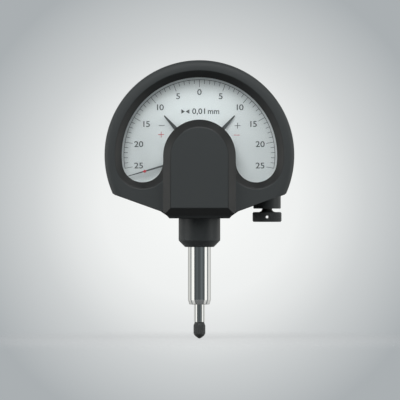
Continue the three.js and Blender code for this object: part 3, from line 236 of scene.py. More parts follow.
def draw_arc(centre, angle, steps):
    """Draws an arc in the dial's plane from the selected vertex; positive turns from +X to +Z."""
    bpy.ops.mesh.spin(steps=steps, angle=angle, center=centre, axis=(0, 1, 0))


def draw_line(name, points):
    """Draws a line through points as a new object."""
    begin(name, points[0])
    for before, after in zip(points, points[1:]):
        draw_to(after - before)


def weld_all(distance=weld):
    bpy.ops.mesh.select_all(action="SELECT")
    bpy.ops.mesh.remove_doubles(threshold=distance)


# Filling outlines and working solids


def make_active(piece):
    bpy.ops.object.select_all(action="DESELECT")
    bpy.context.view_layer.objects.active = piece
    piece.select_set(True)


def open_piece(piece):
    """Opens a piece for editing with all of it selected."""
    make_active(piece)
    bpy.ops.object.mode_set(mode="EDIT")
    bpy.ops.mesh.select_all(action="SELECT")


def close_piece():
    """Deselects everything, leaves edit mode and gives the piece."""
    bpy.ops.mesh.select_all(action="DESELECT")
    bpy.ops.object.mode_set(mode="OBJECT")
    return bpy.context.object


def finish_solid():
    """Welds the edited mesh, turns its faces outwards and leaves edit mode."""
    weld_all()
    bpy.ops.mesh.normals_make_consistent(inside=False)
    return close_piece()


def fill_outline(facing):
    """Fills the drawn outline with one face that looks along facing."""
    weld_all()
    bpy.ops.mesh.edge_face_add()
    bpy.ops.object.mode_set(mode="OBJECT")
    normal = bpy.context.object.data.polygons[0].normal.copy()
    bpy.ops.object.mode_set(mode="EDIT")
    if normal.dot(Vector(facing)) < 0:
        bpy.ops.mesh.flip_normals()


def push(step):
    """Extrudes the selected face."""
    bpy.ops.mesh.extrude_region_move(TRANSFORM_OT_translate={"value": step})


def push_outline(depth):
    """Makes a solid of the drawn outline, pushed back along +Y, or forward if the depth is negative."""
    fill_outline((0, math.copysign(1, depth), 0))
    push((0, depth, 0))
    return finish_solid()


def slab(name, points, depth):
    """A flat solid with straight edges."""
    draw_line(name, points)
    return push_outline(depth)


def step_in(width, depth):
    """Insets the selected face and moves it along its normal."""
    bpy.ops.mesh.inset(thickness=width, depth=depth, use_even_offset=True)


def step_in_round(width, depth, share_of_depth, steps=4):
    """Insets the selected face in steps that follow a curve."""
    done = 0
    for step in range(1, steps + 1):
        level = depth * share_of_depth(step / steps)
        step_in(width / steps, level - done)
        done = level


def turned(name, rows, sides=round_sides, axis="Z", centre=Vector()):
    """Turns a profile of (radius, distance along the axis) rows into a closed solid."""
    if axis == "Z":
        direction = (0, 0, 1)
        points = [Vector((radius, 0, along)) + centre for radius, along in rows]
    else:
        direction = (0, 1, 0)
        points = [Vector((radius, along, 0)) + centre for radius, along in rows]
    draw_line(name, points)
    bpy.ops.mesh.select_all(action="SELECT")
    bpy.ops.mesh.spin(steps=sides, angle=2 * math.pi, center=centre, axis=direction)
    return finish_solid()


def bar_rows(radius, start, end):
    """The profile of a plain round bar."""
    return [(0, start), (radius, start), (radius, end), (0, end)]


def rounded(rows, radius, steps=3):
    """Rounds each inner corner of a profile with a small arc."""
    longest_share = 0.45
    smooth = [rows[0]]
    for before, corner, after in zip(rows, rows[1:], rows[2:]):
        here = Vector(corner)
        back, ahead = Vector(before) - here, Vector(after) - here
        reach = min(radius, back.length * longest_share, ahead.length * longest_share)
        start, end = here + back.normalized() * reach, here + ahead.normalized() * reach
        for step in range(steps + 1):
            part = step / steps
            first, second = start.lerp(here, part), here.lerp(end, part)
            smooth.append(tuple(first.lerp(second, part)))
    return smooth + [rows[-1]]


def combine(piece, tool, operation):
    """Joins, cuts or crops a piece with another and removes the tool."""
    make_active(piece)
    cut = piece.modifiers.new("combine", "BOOLEAN")
    cut.operation = operation
    cut.solver = "MANIFOLD"
    cut.object = tool
    bpy.ops.object.modifier_apply(modifier=cut.name)
    bpy.data.objects.remove(tool)
    return piece


def drill(piece, radius, start, end, axis="Z", centre=Vector(), sides=small_sides):
    """Cuts a round hole along an axis."""
    combine(piece, turned("hole", bar_rows(radius, start, end), sides, axis, centre), "DIFFERENCE")


def select_faces(piece, chosen):
    """Selects the edited faces that a test picks."""
    bpy.ops.mesh.select_all(action="DESELECT")
    bpy.ops.mesh.select_mode(type="FACE")
    bpy.ops.object.mode_set(mode="OBJECT")
    for face in piece.data.polygons:
        face.select = chosen(face)
    if not any(face.select for face in piece.data.polygons):
        raise RuntimeError(f"{piece.name} has no face of the kind that was looked for")
    bpy.ops.object.mode_set(mode="EDIT")


def round_border(width, segments):
    """Rounds the edges round the selected faces."""
    bpy.ops.mesh.region_to_loop()
    bpy.ops.mesh.bevel(offset=width, segments=segments, profile=0.5, affect="EDGES", clamp_overlap=True)


def flatten_ends(piece):
    """Makes one face of each flat that is divided into triangles."""
    open_piece(piece)
    bpy.ops.mesh.dissolve_limited(angle_limit=math.radians(0.2))
    close_piece()


def smooth_faces(piece):
    """Shades the rounded parts smooth and keeps flat faces flat."""
    make_active(piece)
    bpy.ops.object.shade_smooth_by_angle(angle=smooth_angle)
    weighted = piece.modifiers.new("even normals", "WEIGHTED_NORMAL")
    weighted.keep_sharp = True
    bpy.ops.object.modifier_apply(modifier=weighted.name)


def dress(piece, finish, body, slot, *nodes):
    """Gives a piece its finish, body and the solids that it stands for; the slot is not used."""
    piece.data.materials.clear()
    piece.data.materials.append(MATERIALS[finish])
    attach(piece, body)
    if nodes:
        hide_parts(*nodes)


# Shared effects


def add_node(tree, kind, inputs=None, **settings):
    """Adds a shader node; its sockets are given values or linked to the sockets of other nodes."""
    node = tree.nodes.new(f"ShaderNode{kind}")
    for name, value in settings.items():
        setattr(node, name, value)
    for socket, value in (inputs or {}).items():
        if isinstance(value, bpy.types.NodeSocket):
            tree.links.new(value, node.inputs[socket])
        else:
            node.inputs[socket].default_value = value
    return node


def effect_group(name, inputs, outputs):
    """Makes a shader node group with named sockets and gives its tree with its two ends."""
    tree = bpy.data.node_groups.new(name, "ShaderNodeTree")
    for label, kind, value in inputs:
        socket = tree.interface.new_socket(name=label, in_out="INPUT", socket_type=f"NodeSocket{kind}")
        socket.default_value = value
    for label, kind in outputs:
        tree.interface.new_socket(name=label, in_out="OUTPUT", socket_type=f"NodeSocket{kind}")
    return tree, tree.nodes.new("NodeGroupInput").outputs, tree.nodes.new("NodeGroupOutput").inputs


def object_point(tree):
    """Object coordinates in millimetres."""
    place = add_node(tree, "TexCoord").outputs["Object"]
    return add_node(tree, "Mapping", {"Vector": place, "Scale": (1 / mm, 1 / mm, 1 / mm)}).outputs["Vector"]


def grain_group():
    """Fine moulded or sprayed grain as a height."""
    tree, given, result = effect_group(
        "Fine grain", [("Size", "Float", 4.0), ("Detail", "Float", 2.0)], [("Height", "Float")]
    )
    noise = add_node(
        tree, "TexNoise", {"Vector": object_point(tree), "Scale": given["Size"], "Detail": given["Detail"]}
    )
    tree.links.new(noise.outputs["Fac"], result["Height"])
    return tree


def handling_group():
    """Soft uneven patches where hands have polished or dulled a surface."""
    tree, given, result = effect_group(
        "Handling",
        [("Size", "Float", 0.09), ("Dull", "Float", 0.6), ("Bright", "Float", 0.4)],
        [("Roughness", "Float")],
    )
    noise = add_node(tree, "TexNoise", {
        "Vector": object_point(tree), "Scale": given["Size"], "Detail": 4, "Distortion": 0.6,
    })
    spread = add_node(tree, "MapRange", {
        "Value": noise.outputs["Fac"], "From Min": 0.3, "From Max": 0.7,
        "To Min": given["Bright"], "To Max": given["Dull"],
    })
    tree.links.new(spread.outputs["Result"], result["Roughness"])
    return tree


def edge_wear_and_highlight_group():
    """Edges made paler than the faces beside them: partly wear, partly painted highlight."""
    tree, given, result = effect_group(
        "Worn and highlit edges",
        [
            ("Colour", "Color", (0.03, 0.03, 0.03, 1)),
            ("Edge colour", "Color", (0.1, 0.1, 0.1, 1)),
            ("Amount", "Float", 0.5),
        ],
        [("Colour", "Color"), ("Mask", "Float")],
    )
    shape = add_node(tree, "NewGeometry").outputs["Normal"]
    bevel = add_node(tree, "Bevel", {"Radius": 0.25 * mm}, samples=4).outputs["Normal"]
    alike = add_node(tree, "VectorMath", {0: shape, 1: bevel}, operation="DOT_PRODUCT").outputs["Value"]
    edge = add_node(tree, "MapRange", {"Value": alike, "From Min": 0.995, "From Max": 0.86})
    patches = add_node(tree, "TexNoise", {"Vector": object_point(tree), "Scale": 0.35, "Detail": 6})
    broken = add_node(
        tree, "Math", {0: edge.outputs["Result"], 1: patches.outputs["Fac"]}, operation="MULTIPLY"
    )
    strength = add_node(
        tree, "Math", {0: broken.outputs["Value"], 1: given["Amount"]}, operation="MULTIPLY", use_clamp=True
    ).outputs["Value"]
    mix = add_node(tree, "Mix", data_type="RGBA")
    tree.links.new(strength, mix.inputs["Factor"])
    tree.links.new(given["Colour"], mix.inputs["A"])
    tree.links.new(given["Edge colour"], mix.inputs["B"])
    tree.links.new(mix.outputs["Result"], result["Colour"])
    tree.links.new(strength, result["Mask"])
    return tree


def lines_group():
    """Fine tool or brush lines across one axis as a height."""
    tree, given, result = effect_group(
        "Tool lines", [("Stretch", "Vector", (0.05, 0.05, 9.0))], [("Height", "Float")]
    )
    scaled = add_node(tree, "VectorMath", {0: object_point(tree), 1: given["Stretch"]}, operation="MULTIPLY")
    noise = add_node(tree, "TexNoise", {"Vector": scaled.outputs["Vector"], "Scale": 1, "Detail": 3})
    tree.links.new(noise.outputs["Fac"], result["Height"])
    return tree


# Finishes


class Finish:
    """One material with its shader and short ways to add the shared effects."""

    def __init__(self, name, colour, roughness, metallic=0.0):
        self.material = bpy.data.materials.new(name)
        self.material.use_nodes = True
        self.tree = self.material.node_tree
        self.shader = self.tree.nodes["Principled BSDF"]
        self.colour = (*colour, 1)
        self.set("Base Color", self.colour)
        self.set("Roughness", roughness)
        self.set("Metallic", metallic)

    def set(self, socket, value):
        self.shader.inputs[socket].default_value = value

    def effect(self, name, maker, inputs):
        """Places a shared effect, which is made at its first use."""
        group = bpy.data.node_groups.get(name) or maker()
        return add_node(self.tree, "Group", inputs, node_tree=group)

    def handled(self, bright, dull, size=0.09):
        node = self.effect("Handling", handling_group, {"Size": size, "Dull": dull, "Bright": bright})
        self.tree.links.new(node.outputs["Roughness"], self.shader.inputs["Roughness"])

    def rubbed(self, edge_colour, amount):
        # Paler edges: partly wear, partly painted highlight.
        inputs = {"Colour": self.colour, "Edge colour": (*edge_colour, 1), "Amount": amount}
        node = self.effect("Worn and highlit edges", edge_wear_and_highlight_group, inputs)
        self.tree.links.new(node.outputs["Colour"], self.shader.inputs["Base Color"])

    def bumped(self, node, strength, distance):
        height = node.outputs["Height"]
        bump = add_node(self.tree, "Bump", {"Strength": strength, "Distance": distance, "Height": height})
        self.tree.links.new(bump.outputs["Normal"], self.shader.inputs["Normal"])

    def grained(self, size, strength, distance=0.02 * mm):
        self.bumped(self.effect("Fine grain", grain_group, {"Size": size}), strength, distance)

    def lined(self, stretch, strength, distance=0.01 * mm):
        self.bumped(self.effect("Tool lines", lines_group, {"Stretch": stretch}), strength, distance)


def moulded_plastic(finishes):
    finish = Finish("moulded plastic", finishes.plastic, 0.5)
    finish.set("Specular IOR Level", 0.3)
    finish.handled(0.42, 0.56)
    finish.rubbed((0.10, 0.105, 0.107), 0.7)
    finish.grained(7.0, 0.35)
    return finish.material


def smooth_plastic(finishes):
    """The same plastic, smoother where the mould was polished, with its colour cut to a quarter as painted
    shade.
    """
    # A quarter of the plastic's colour: painted shade on the slopes and on the strip under the raised plate.
    finish = Finish("smoother plastic with painted shade", [0.24 * part for part in finishes.plastic], 0.36)
    finish.set("Specular IOR Level", 0.55)
    finish.handled(0.32, 0.42)
    finish.grained(7.0, 0.12)
    return finish.material


def black_lacquer(finishes):
    finish = Finish("black lacquered metal", finishes.lacquer, 0.42)
    finish.set("Specular IOR Level", 0.35)
    finish.handled(0.38, 0.52)
    finish.rubbed((0.10, 0.10, 0.10), 0.8)
    finish.grained(10.0, 0.2)
    return finish.material


def polished_chrome(finishes):
    finish = Finish("polished chrome", finishes.chrome, 0.07, 1)
    finish.handled(0.05, 0.10, 0.2)
    finish.lined((0.05, 0.05, 6.0), 0.008)
    return finish.material


def hard_tip():
    finish = Finish("dark carbide", (0.062, 0.066, 0.066), 0.45, 0.4)
    finish.handled(0.38, 0.55, 0.6)
    finish.rubbed((0.16, 0.16, 0.16), 0.6)
    finish.grained(12.0, 0.3)
    return finish.material


def bright_steel():
    finish = Finish("bright steel", (0.52, 0.53, 0.54), 0.3, 1)
    finish.handled(0.24, 0.36, 0.3)
    finish.lined((6.0, 0.1, 6.0), 0.1)
    return finish.material


def plain_brass():
    finish = Finish("machined brass", (0.62, 0.43, 0.16), 0.32, 1)
    finish.handled(0.26, 0.40, 0.2)
    finish.lined((3.0, 0.2, 0.2), 0.12)
    return finish.material


def ruby_jewel():
    finish = Finish("ruby", (0.42, 0.01, 0.05), 0.08)
    finish.set("Coat Weight", 0.6)
    finish.handled(0.06, 0.12, 1.0)
    return finish.material


def black_rubber():
    finish = Finish("black rubber", (0.012, 0.012, 0.012), 0.8)
    finish.handled(0.72, 0.9, 0.3)
    finish.grained(8.0, 0.3)
    return finish.material


def dial_lacquer(finishes):
    finish = Finish("dial lacquer", finishes.dial, 0.5)
    finish.handled(0.44, 0.54, 0.05)
    finish.grained(9.0, 0.08)
    return finish.material


def printing_ink(name, colour):
    finish = Finish(name, colour, 0.55)
    finish.handled(0.5, 0.62, 0.8)
    finish.grained(14.0, 0.15, 0.005 * mm)
    return finish.material


def pointer_lacquer(finishes):
    finish = Finish("pointer lacquer", finishes.print_dark, 0.45)
    finish.handled(0.4, 0.52, 0.5)
    finish.rubbed((0.12, 0.12, 0.12), 0.4)
    return finish.material


def clear_window():
    finish = Finish("clear window", (0.97, 0.985, 0.98), 0.0)
    finish.set("Transmission Weight", 1)
    finish.set("IOR", 1.49)
    finish.handled(0.0, 0.03, 0.06)
    return finish.material


def window_pale_border(finishes):
    """A little paler than the dial."""
    # A band a little paler than the dial, seen just inside the window's edge.
    finish = Finish("window seam", [1.1 * part for part in finishes.dial], 0.35)
    finish.handled(0.3, 0.42, 0.3)
    return finish.material


MATERIALS = {}


class PaintFinishes(bpy.types.Operator):
    """Makes the finishes and paints the solids that stay as they are"""

    bl_idname = "comparator.paint_finishes"
    bl_label = "Finishes"

    def execute(self, context):
        finishes = context.scene.comparator_finishes
        MATERIALS.update(
            plastic=moulded_plastic(finishes),
            smooth_plastic=smooth_plastic(finishes),
            lacquer=black_lacquer(finishes),
            chrome=polished_chrome(finishes),
            carbide=hard_tip(),
            steel=bright_steel(),
            brass=plain_brass(),
            ruby=ruby_jewel(),
            rubber=black_rubber(),
            dial=dial_lacquer(finishes),
            dark_print=printing_ink("dark print", finishes.print_dark),
            red_print=printing_ink("red print", finishes.print_red),
            pointer=pointer_lacquer(finishes),
            clear=clear_window(),
            seam=window_pale_border(finishes),
        )
        finish_of_slot = {
            "black_plastic": "plastic", "black_metal": "lacquer", "clear_plastic": "clear",
            "dial_face": "dial", "dark_lacquer": "pointer", "chrome": "chrome", "steel": "steel",
            "brass": "brass", "carbide": "carbide", "ruby": "ruby", "rubber": "rubber",
        }
        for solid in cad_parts.values():
            slot = solid.data.materials[0].name.split(".")[0]
            solid.data.materials.clear()
            solid.data.materials.append(MATERIALS[finish_of_slot[slot]])
        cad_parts["window"].visible_shadow = False
        return {"FINISHED"}


# Housing


def front_y():
    """The face of the front round the raised plate."""
    return housing_low.y + bpy.context.scene.comparator_housing.plateau_rise


def keep_tool(sizes, inset, front, back):
    """A prism with the housing's shoulders, foot corners and foot, to crop a round block to."""
    foot = housing_low.z
    knee_x = sizes.foot_half_width + sizes.foot_chamfer_width
    knee_z = foot + sizes.foot_chamfer_height
    side, top = 1.5 * housing_radius, 3 * housing_radius
    rise = (side - knee_x) * math.tan(sizes.shoulder_angle)
    right = [(sizes.foot_half_width, foot), (knee_x, knee_z), (side, knee_z + rise), (side, top)]
    left = [(-x, z) for x, z in reversed(right)]
    draw_line("keep", [Vector((x, front, z)) for x, z in right + left])
    fill_outline((0, 1, 0))
    if inset:
        bpy.ops.mesh.inset(thickness=inset, use_even_offset=True)
        bpy.ops.mesh.select_all(action="INVERT")
        bpy.ops.mesh.delete(type="VERT")
        bpy.ops.mesh.select_all(action="SELECT")
    push((0, back - front, 0))
    return finish_solid()


def round_block(name, radius, front, back, sizes, crown_width=0, crown_depth=0, inset=0):
    """A round block cropped to the housing's outline, with its front edge crowned if it has a width."""
    rows = [(0, front), (radius - crown_width, front)]
    steps = 10 if crown_width else 0
    for step in range(1, steps + 1):
        turn = math.pi / 2 * step / steps
        rows.append((
            radius - crown_width + crown_width * math.sin(turn),
            front + crown_depth - crown_depth * math.cos(turn),
        ))
    rows += [(radius, back), (0, back)]
    piece = turned(name, rows, fine_sides, "Y", dial_centre)
    flatten_ends(piece)
    return combine(piece, keep_tool(sizes, inset, front - overrun, back + overrun), "INTERSECT")


def soften_flats(piece, width):
    """Rounds the edges round the flat shoulders and foot."""
    broad = 60 * mm * mm
    open_piece(piece)
    weld_all(coarse_weld)
    select_faces(piece, lambda face: face.normal.z < -0.3 and abs(face.normal.y) < 0.02 and face.area > broad)
    round_border(width, 3)
    finish_solid()


def draw_window(name, sizes, margin, y):
    """The outline of the whole window with the arch counted in, drawn at a depth."""
    span = sizes.window_radius + sizes.arch_radius
    lobe_x = (span * span - sizes.lobe_drop * sizes.lobe_drop) / (2 * span)
    lobe_radius = lobe_x - sizes.arch_radius + margin
    tilt = math.atan2(sizes.lobe_drop, lobe_x)
    middle = dial_centre + Vector((0, y, 0))
    right = middle + Vector((lobe_x, 0, -sizes.lobe_drop))
    left = middle + Vector((-lobe_x, 0, -sizes.lobe_drop))
    begin(name, right - Vector((lobe_radius, 0, 0)))
    draw_arc(right, math.pi - tilt, 48)
    draw_arc(middle, math.pi + 2 * tilt, 128)
    draw_arc(left, math.pi - tilt, 48)


def draw_arch(name, sizes, inset, y):
    """The outline of the raised plate's foot, drawn at a depth."""
    half = sizes.arch_radius - inset
    foot_z = inset - sizes.plateau_drop
    centre = Vector((0, y, -sizes.arch_drop)) + dial_centre
    begin(name, centre + Vector((half, 0, 0)))
    draw_arc(centre, math.pi, 96)
    draw_to((0, 0, foot_z + sizes.arch_drop))
    draw_to((2 * half, 0, 0))
    draw_to((0, 0, -foot_z - sizes.arch_drop))


def horseshoe(name, sizes, border, front, back):
    """The open part of the window as a flat plate, drawn in by a border."""
    draw_window(name, sizes, -border, front)
    plate = push_outline(back - front)
    draw_arch("arch", sizes, -border, front - overrun)
    return combine(plate, push_outline(back - front + 2 * overrun), "DIFFERENCE")


def window_edge(sizes):
    """A thin pale mask in front of the dial that shows as a border inside the window's edge."""
    back = dial_low.y - 0.35 * mm
    front = back - 0.06 * mm
    hidden, shown = 0.6 * mm, 0.36 * mm
    mask = horseshoe("dial_mask", sizes, -hidden, front, back)
    combine(mask, horseshoe("inside", sizes, shown, front - overrun, back + overrun), "DIFFERENCE")
    dress(mask, "seam", "case", "clear_plastic")


def window_tool(sizes):
    """What is cut out of the front: a rounded lip, the slope and the opening."""
    lip = sizes.edge_round
    steepness = sizes.window_slope / sizes.window_bevel
    draw_window("window tool", sizes, sizes.window_bevel + lip, front_y() - 2 * sizes.plateau_rise)
    fill_outline((0, 1, 0))
    push((0, 2 * sizes.plateau_rise, 0))
    step_in_round(2 * lip, steepness * lip, lambda part: part * part)
    step_in(sizes.window_bevel - lip, sizes.window_slope - steepness * lip)
    push((0, sizes.front_wall, 0))
    return finish_solid()


def raised_plate(sizes):
    """The column behind the arch with the sloped plate in front."""
    crest = sizes.edge_round
    steepness = sizes.plateau_rise / sizes.plateau_bevel
    draw_arch("raised plate", sizes, 0, front_y() + sizes.front_wall)
    fill_outline((0, -1, 0))
    push((0, -sizes.front_wall, 0))
    step_in(sizes.plateau_bevel - crest, sizes.plateau_rise - steepness * crest)
    step_in_round(2 * crest, steepness * crest, lambda part: 1 - (1 - part) ** 2)
    return finish_solid()


class ModelHousing(bpy.types.Operator):
    """Models the moulded housing with its window, raised plate and adjuster boss"""

    bl_idname = "comparator.model_housing"
    bl_label = "Housing"

    def execute(self, context):
        sizes = context.scene.comparator_housing
        front, back = front_y(), housing_high.y
        shell = round_block(
            "housing_shell", housing_radius, front, back, sizes, sizes.crown_width, sizes.crown_depth
        )
        soften_flats(shell, sizes.edge_round)
        inner_radius, inner_front = housing_radius - sizes.wall, front + sizes.front_wall
        hollow = round_block("hollow", inner_radius, inner_front, back + overrun, sizes, inset=sizes.wall)
        combine(shell, hollow, "DIFFERENCE")
        combine(shell, window_tool(sizes), "DIFFERENCE")
        plate = raised_plate(sizes)
        combine(plate, keep_tool(sizes, 0, housing_low.y - overrun, back), "INTERSECT")
        combine(shell, plate, "UNION")
        self.add_boss(shell)
        neck_hole = 5.95 * mm
        drill(shell, neck_hole, neck_high.z - 6 * mm, neck_high.z + overrun, sides=round_sides)
        smooth_faces(shell)
        dress(shell, "plastic", "case", "black_plastic", "housing")
        window_edge(sizes)
        self.polish_and_shade_slopes(shell, sizes, front)
        return {"FINISHED"}

    def add_boss(self, shell):
        """Adds the round boss that holds the adjuster's bush, and drills it."""
        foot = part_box("adjust_bush")[0].z
        centre = axis_of("adjust_bush", "Z")
        radius, height, edge = 4.83 * mm, 5.1 * mm, 0.3 * mm
        bush_hole, hole_depth = 2.65 * mm, 8 * mm
        rows = rounded(bar_rows(radius, foot, foot + height), edge)
        combine(shell, turned("adjuster boss", rows, centre=centre), "UNION")
        drill(shell, bush_hole, foot - overrun, foot + hole_depth, centre=centre)

    def polish_and_shade_slopes(self, shell, sizes, front):
        """Gives the slopes, and the strip under the raised plate, the smoother plastic darkened as painted
        shade.
        """
        shell.data.materials.append(MATERIALS["smooth_plastic"])
        lip = sizes.window_radius + sizes.window_bevel + sizes.edge_round
        strip_top = housing_low.z + 1.1 * mm
        for face in shell.data.polygons:
            place = face.center
            away = (Vector((place.x, 0, place.z)) - dial_centre).length
            sloped = 0.3 < -face.normal.y < 0.93
            on_plate = place.y < front
            in_window = away < lip and place.y < front + sizes.front_wall
            in_strip = place.z < strip_top and abs(place.x) < sizes.arch_radius
            # The faces picked here get the darker plastic as painted shade.
            if in_strip or sloped and (on_plate or in_window):
                face.material_index = 1


# Rear cover with its screws


def copy_of(name, source):
    """A copy of a solid with a mesh of its own, ready to be worked."""
    piece = bpy.data.objects.new(name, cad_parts[source].data.copy())
    bpy.context.scene.collection.objects.link(piece)
    open_piece(piece)
    weld_all()
    return close_piece()


class MakeRearCover(bpy.types.Operator):
    """Models the rear cover, its four slotted screws and the marker adjusters' heads"""

    bl_idname = "comparator.make_rear_cover"
    bl_label = "Rear cover"
    screw_head = 1.7 * mm
    screw_shaft = 0.98 * mm
    head_height = 1.1 * mm
    head_edge = 0.15 * mm

    def execute(self, context):
        sizes = context.scene.comparator_housing
        screws = [f"cover_screw_{number}" for number in range(1, 5)]
        adjusters = ["left_marker_adjuster", "right_marker_adjuster"]
        self.plate(sizes, screws, adjusters)
        for number, node in enumerate(screws):
            self.screw(node, 25 + 70 * number)
        for node, body, degrees in zip(adjusters, ("left_adjuster", "right_adjuster"), (20, 75)):
            self.adjuster(node, body, degrees)
        return {"FINISHED"}

    def plate(self, sizes, screws, adjusters):
        front, back = cover_low.y, cover_high.y
        border_round, screw_hole, play = 0.5 * mm, 1.2 * mm, 0.1 * mm
        plate = turned("rear_cover_plate", bar_rows(cover_high.x, front, back), fine_sides, "Y", dial_centre)
        flatten_ends(plate)
        combine(plate, keep_tool(sizes, 0, front - overrun, back + overrun), "INTERSECT")
        open_piece(plate)
        weld_all(coarse_weld)
        select_faces(plate, lambda face: face.normal.y > 0.99)
        round_border(border_round, 4)
        finish_solid()
        for node in screws:
            self.sink(plate, axis_of(node, "Y"), back)
            self.drill_through(plate, screw_hole, node)
        for node in adjusters:
            low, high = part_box(node)
            self.drill_through(plate, (high.x - low.x) / 2 + play, node)
        smooth_faces(plate)
        dress(plate, "lacquer", "case", "black_metal", "rear_cover")

    def drill_through(self, plate, radius, node):
        drill(plate, radius, cover_low.y - overrun, cover_high.y + overrun, "Y", axis_of(node, "Y"))

    def sink(self, plate, centre, back):
        """Cuts the seat of a screw's head, chamfered at its mouth."""
        seat, mouth = self.screw_head + 0.2 * mm, self.screw_head + 0.45 * mm
        floor, chamfer, proud = back - 1.15 * mm, back - 0.2 * mm, back + 0.05 * mm
        rows = [(0, floor), (seat, floor), (seat, chamfer), (mouth, proud), (0, proud)]
        combine(plate, turned("sink", rows, small_sides, "Y", centre), "DIFFERENCE")

    def cut_slot(self, piece, centre, floor_y, degrees):
        """Cuts a screwdriver slot into a head that faces +Y."""
        half_width, reach, height = 0.25 * mm, 2 * mm, 4 * mm
        turn = math.radians(degrees)
        along = Vector((math.cos(turn), 0, math.sin(turn)))
        across = Vector((-math.sin(turn), 0, math.cos(turn)))
        middle = centre + Vector((0, floor_y, 0))
        corners = [
            middle + along * reach * end + across * half_width * side
            for end, side in ((-1, -1), (1, -1), (1, 1), (-1, 1))
        ]
        combine(piece, slab("slot", corners, height), "DIFFERENCE")
        flatten_ends(piece)
        smooth_faces(piece)

    def screw(self, node, degrees):
        centre, head, shaft = axis_of(node, "Y"), self.screw_head, self.screw_shaft
        front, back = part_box(node)[0].y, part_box(node)[1].y
        seat, slot_floor = back - self.head_height, back - 0.55 * mm
        tip_width, tip_height = 0.2 * mm, 0.3 * mm
        rows = [
            (0, front), (shaft - tip_width, front), (shaft, front + tip_height), (shaft, seat),
            (head, seat), (head, back), (0, back),
        ]
        screw = turned(f"{node}_slotted", rounded(rows, self.head_edge), small_sides, "Y", centre)
        self.cut_slot(screw, centre, slot_floor, degrees)
        dress(screw, "steel", "case", "steel", node)

    def adjuster(self, node, body, degrees):
        """A copy of the solid with a rounded head put over its own."""
        centre, back = axis_of(node, "Y"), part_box(node)[1].y
        head, height, proud = 1.63 * mm, 1.25 * mm, 0.02 * mm
        slot_floor = back - 0.6 * mm
        rows = rounded(bar_rows(head, back - height, back + proud), self.head_edge)
        piece = copy_of(f"{node}_slotted", node)
        combine(piece, turned("head", rows, small_sides, "Y", centre), "UNION")
        self.cut_slot(piece, centre, slot_floor, degrees)
        dress(piece, "brass", body, "steel", node)


# Neck, shank, spindle and contact point


def sink_points(piece, wanted, share_left):
    """Draws the wanted points of a piece in towards the spindle's axis."""
    open_piece(piece)
    bpy.ops.mesh.select_mode(type="VERT")
    close_piece()
    for vertex in piece.data.vertices:
        vertex.select = wanted(vertex)
    bpy.ops.object.mode_set(mode="EDIT")
    bpy.ops.transform.resize(
        value=(share_left, share_left, 1), center_override=(0, 0, 0), orient_type="GLOBAL"
    )
    close_piece()


class TurnSpindle(bpy.types.Operator):
    """Turns the neck, the clamping shank, the spindle and the contact point"""

    bl_idname = "comparator.turn_spindle"
    bl_label = "Spindle and shank"

    def execute(self, context):
        self.turn_neck()
        self.turn_shank()
        self.turn_rod()
        self.turn_tip()
        return {"FINISHED"}

    def tube(self, name, rows, edge):
        """Turns a ring-shaped profile whose first corner is repeated to close it."""
        return turned(name, [*rounded(rows, edge), rows[0]])

    def turn_neck(self):
        radius, bottom, top = neck_high.x, neck_low.z, neck_high.z
        bore, plug = shank_high.x + 0.05 * mm, 5.9 * mm
        shoulder = top - 4.2 * mm
        chamfer_width, chamfer_height = 2.25 * mm, 2.3 * mm
        rows = [
            (bore, bottom), (radius - chamfer_width, bottom), (radius, bottom + chamfer_height),
            (radius, shoulder), (plug, shoulder), (plug, top), (bore, top),
        ]
        neck = self.tube("neck_sleeve", rows, 0.25 * mm)
        smooth_faces(neck)
        dress(neck, "lacquer", "case", "black_metal", "neck")

    def turn_shank(self):
        radius, bottom, top = shank_high.x, shank_low.z, shank_high.z
        bore = 2.95 * mm
        chamfer_width, chamfer_height = 0.45 * mm, 1.6 * mm
        rows = [
            (bore, bottom), (radius - chamfer_width, bottom), (radius, bottom + chamfer_height),
            (radius, top), (bore, top),
        ]
        shank = self.tube("shank_tube", rows, 0.2 * mm)
        smooth_faces(shank)
        dress(shank, "chrome", "case", "chrome", "clamping_shank")

    def turn_rod(self):
        radius, bottom, top = spindle_high.x, spindle_low.z, spindle_high.z
        thread_bore, thread_top = 1.25 * mm, spindle_low.z + 4.6 * mm
        rows = [
            (0, thread_top), (thread_bore, thread_top), (thread_bore, bottom), (radius, bottom),
            (radius, top), (0, top),
        ]
        rod = turned("spindle_rod", rounded(rows, fine_edge))
        smooth_faces(rod)
        dress(rod, "chrome", "spindle", "chrome", "spindle")

    def turn_tip(self):
        """A threaded shaft, a fluted barrel and a blunt nose, by share of the radius and of the way down."""
        shaft_length, shaft_radius = 4 * mm, 1.15 * mm
        radius, seat = contact_high.x, contact_high.z - shaft_length
        reach = seat - contact_low.z
        shape = [
            (0.8, 0), (0.82, 0.05), (0.97, 0.18), (1, 0.22), (1, 0.65), (0.98, 0.69), (0.9, 0.755),
            (0.76, 0.824), (0.6, 0.875), (0.43, 0.925), (0.28, 0.96), (0.15, 0.985), (0, 1),
        ]
        rows = [(0, seat + shaft_length), (shaft_radius, seat + shaft_length), (shaft_radius, seat)]
        rows += [(across * radius, seat - down * reach) for across, down in shape]
        flutes, share_left = 26, 0.955
        tip = turned("contact_tip", rounded(rows, fine_edge), 2 * flutes)

        def in_flute(vertex):
            down = (seat - vertex.co.z) / reach
            on_barrel = 0.2 < down < 0.7 and vertex.co.xy.length > 0.9 * radius
            return on_barrel and round(math.atan2(vertex.co.y, vertex.co.x) / (math.pi / flutes)) % 2 == 0

        sink_points(tip, in_flute, share_left)
        smooth_faces(tip)
        dress(tip, "carbide", "spindle", "carbide", "contact_point")


# Springs


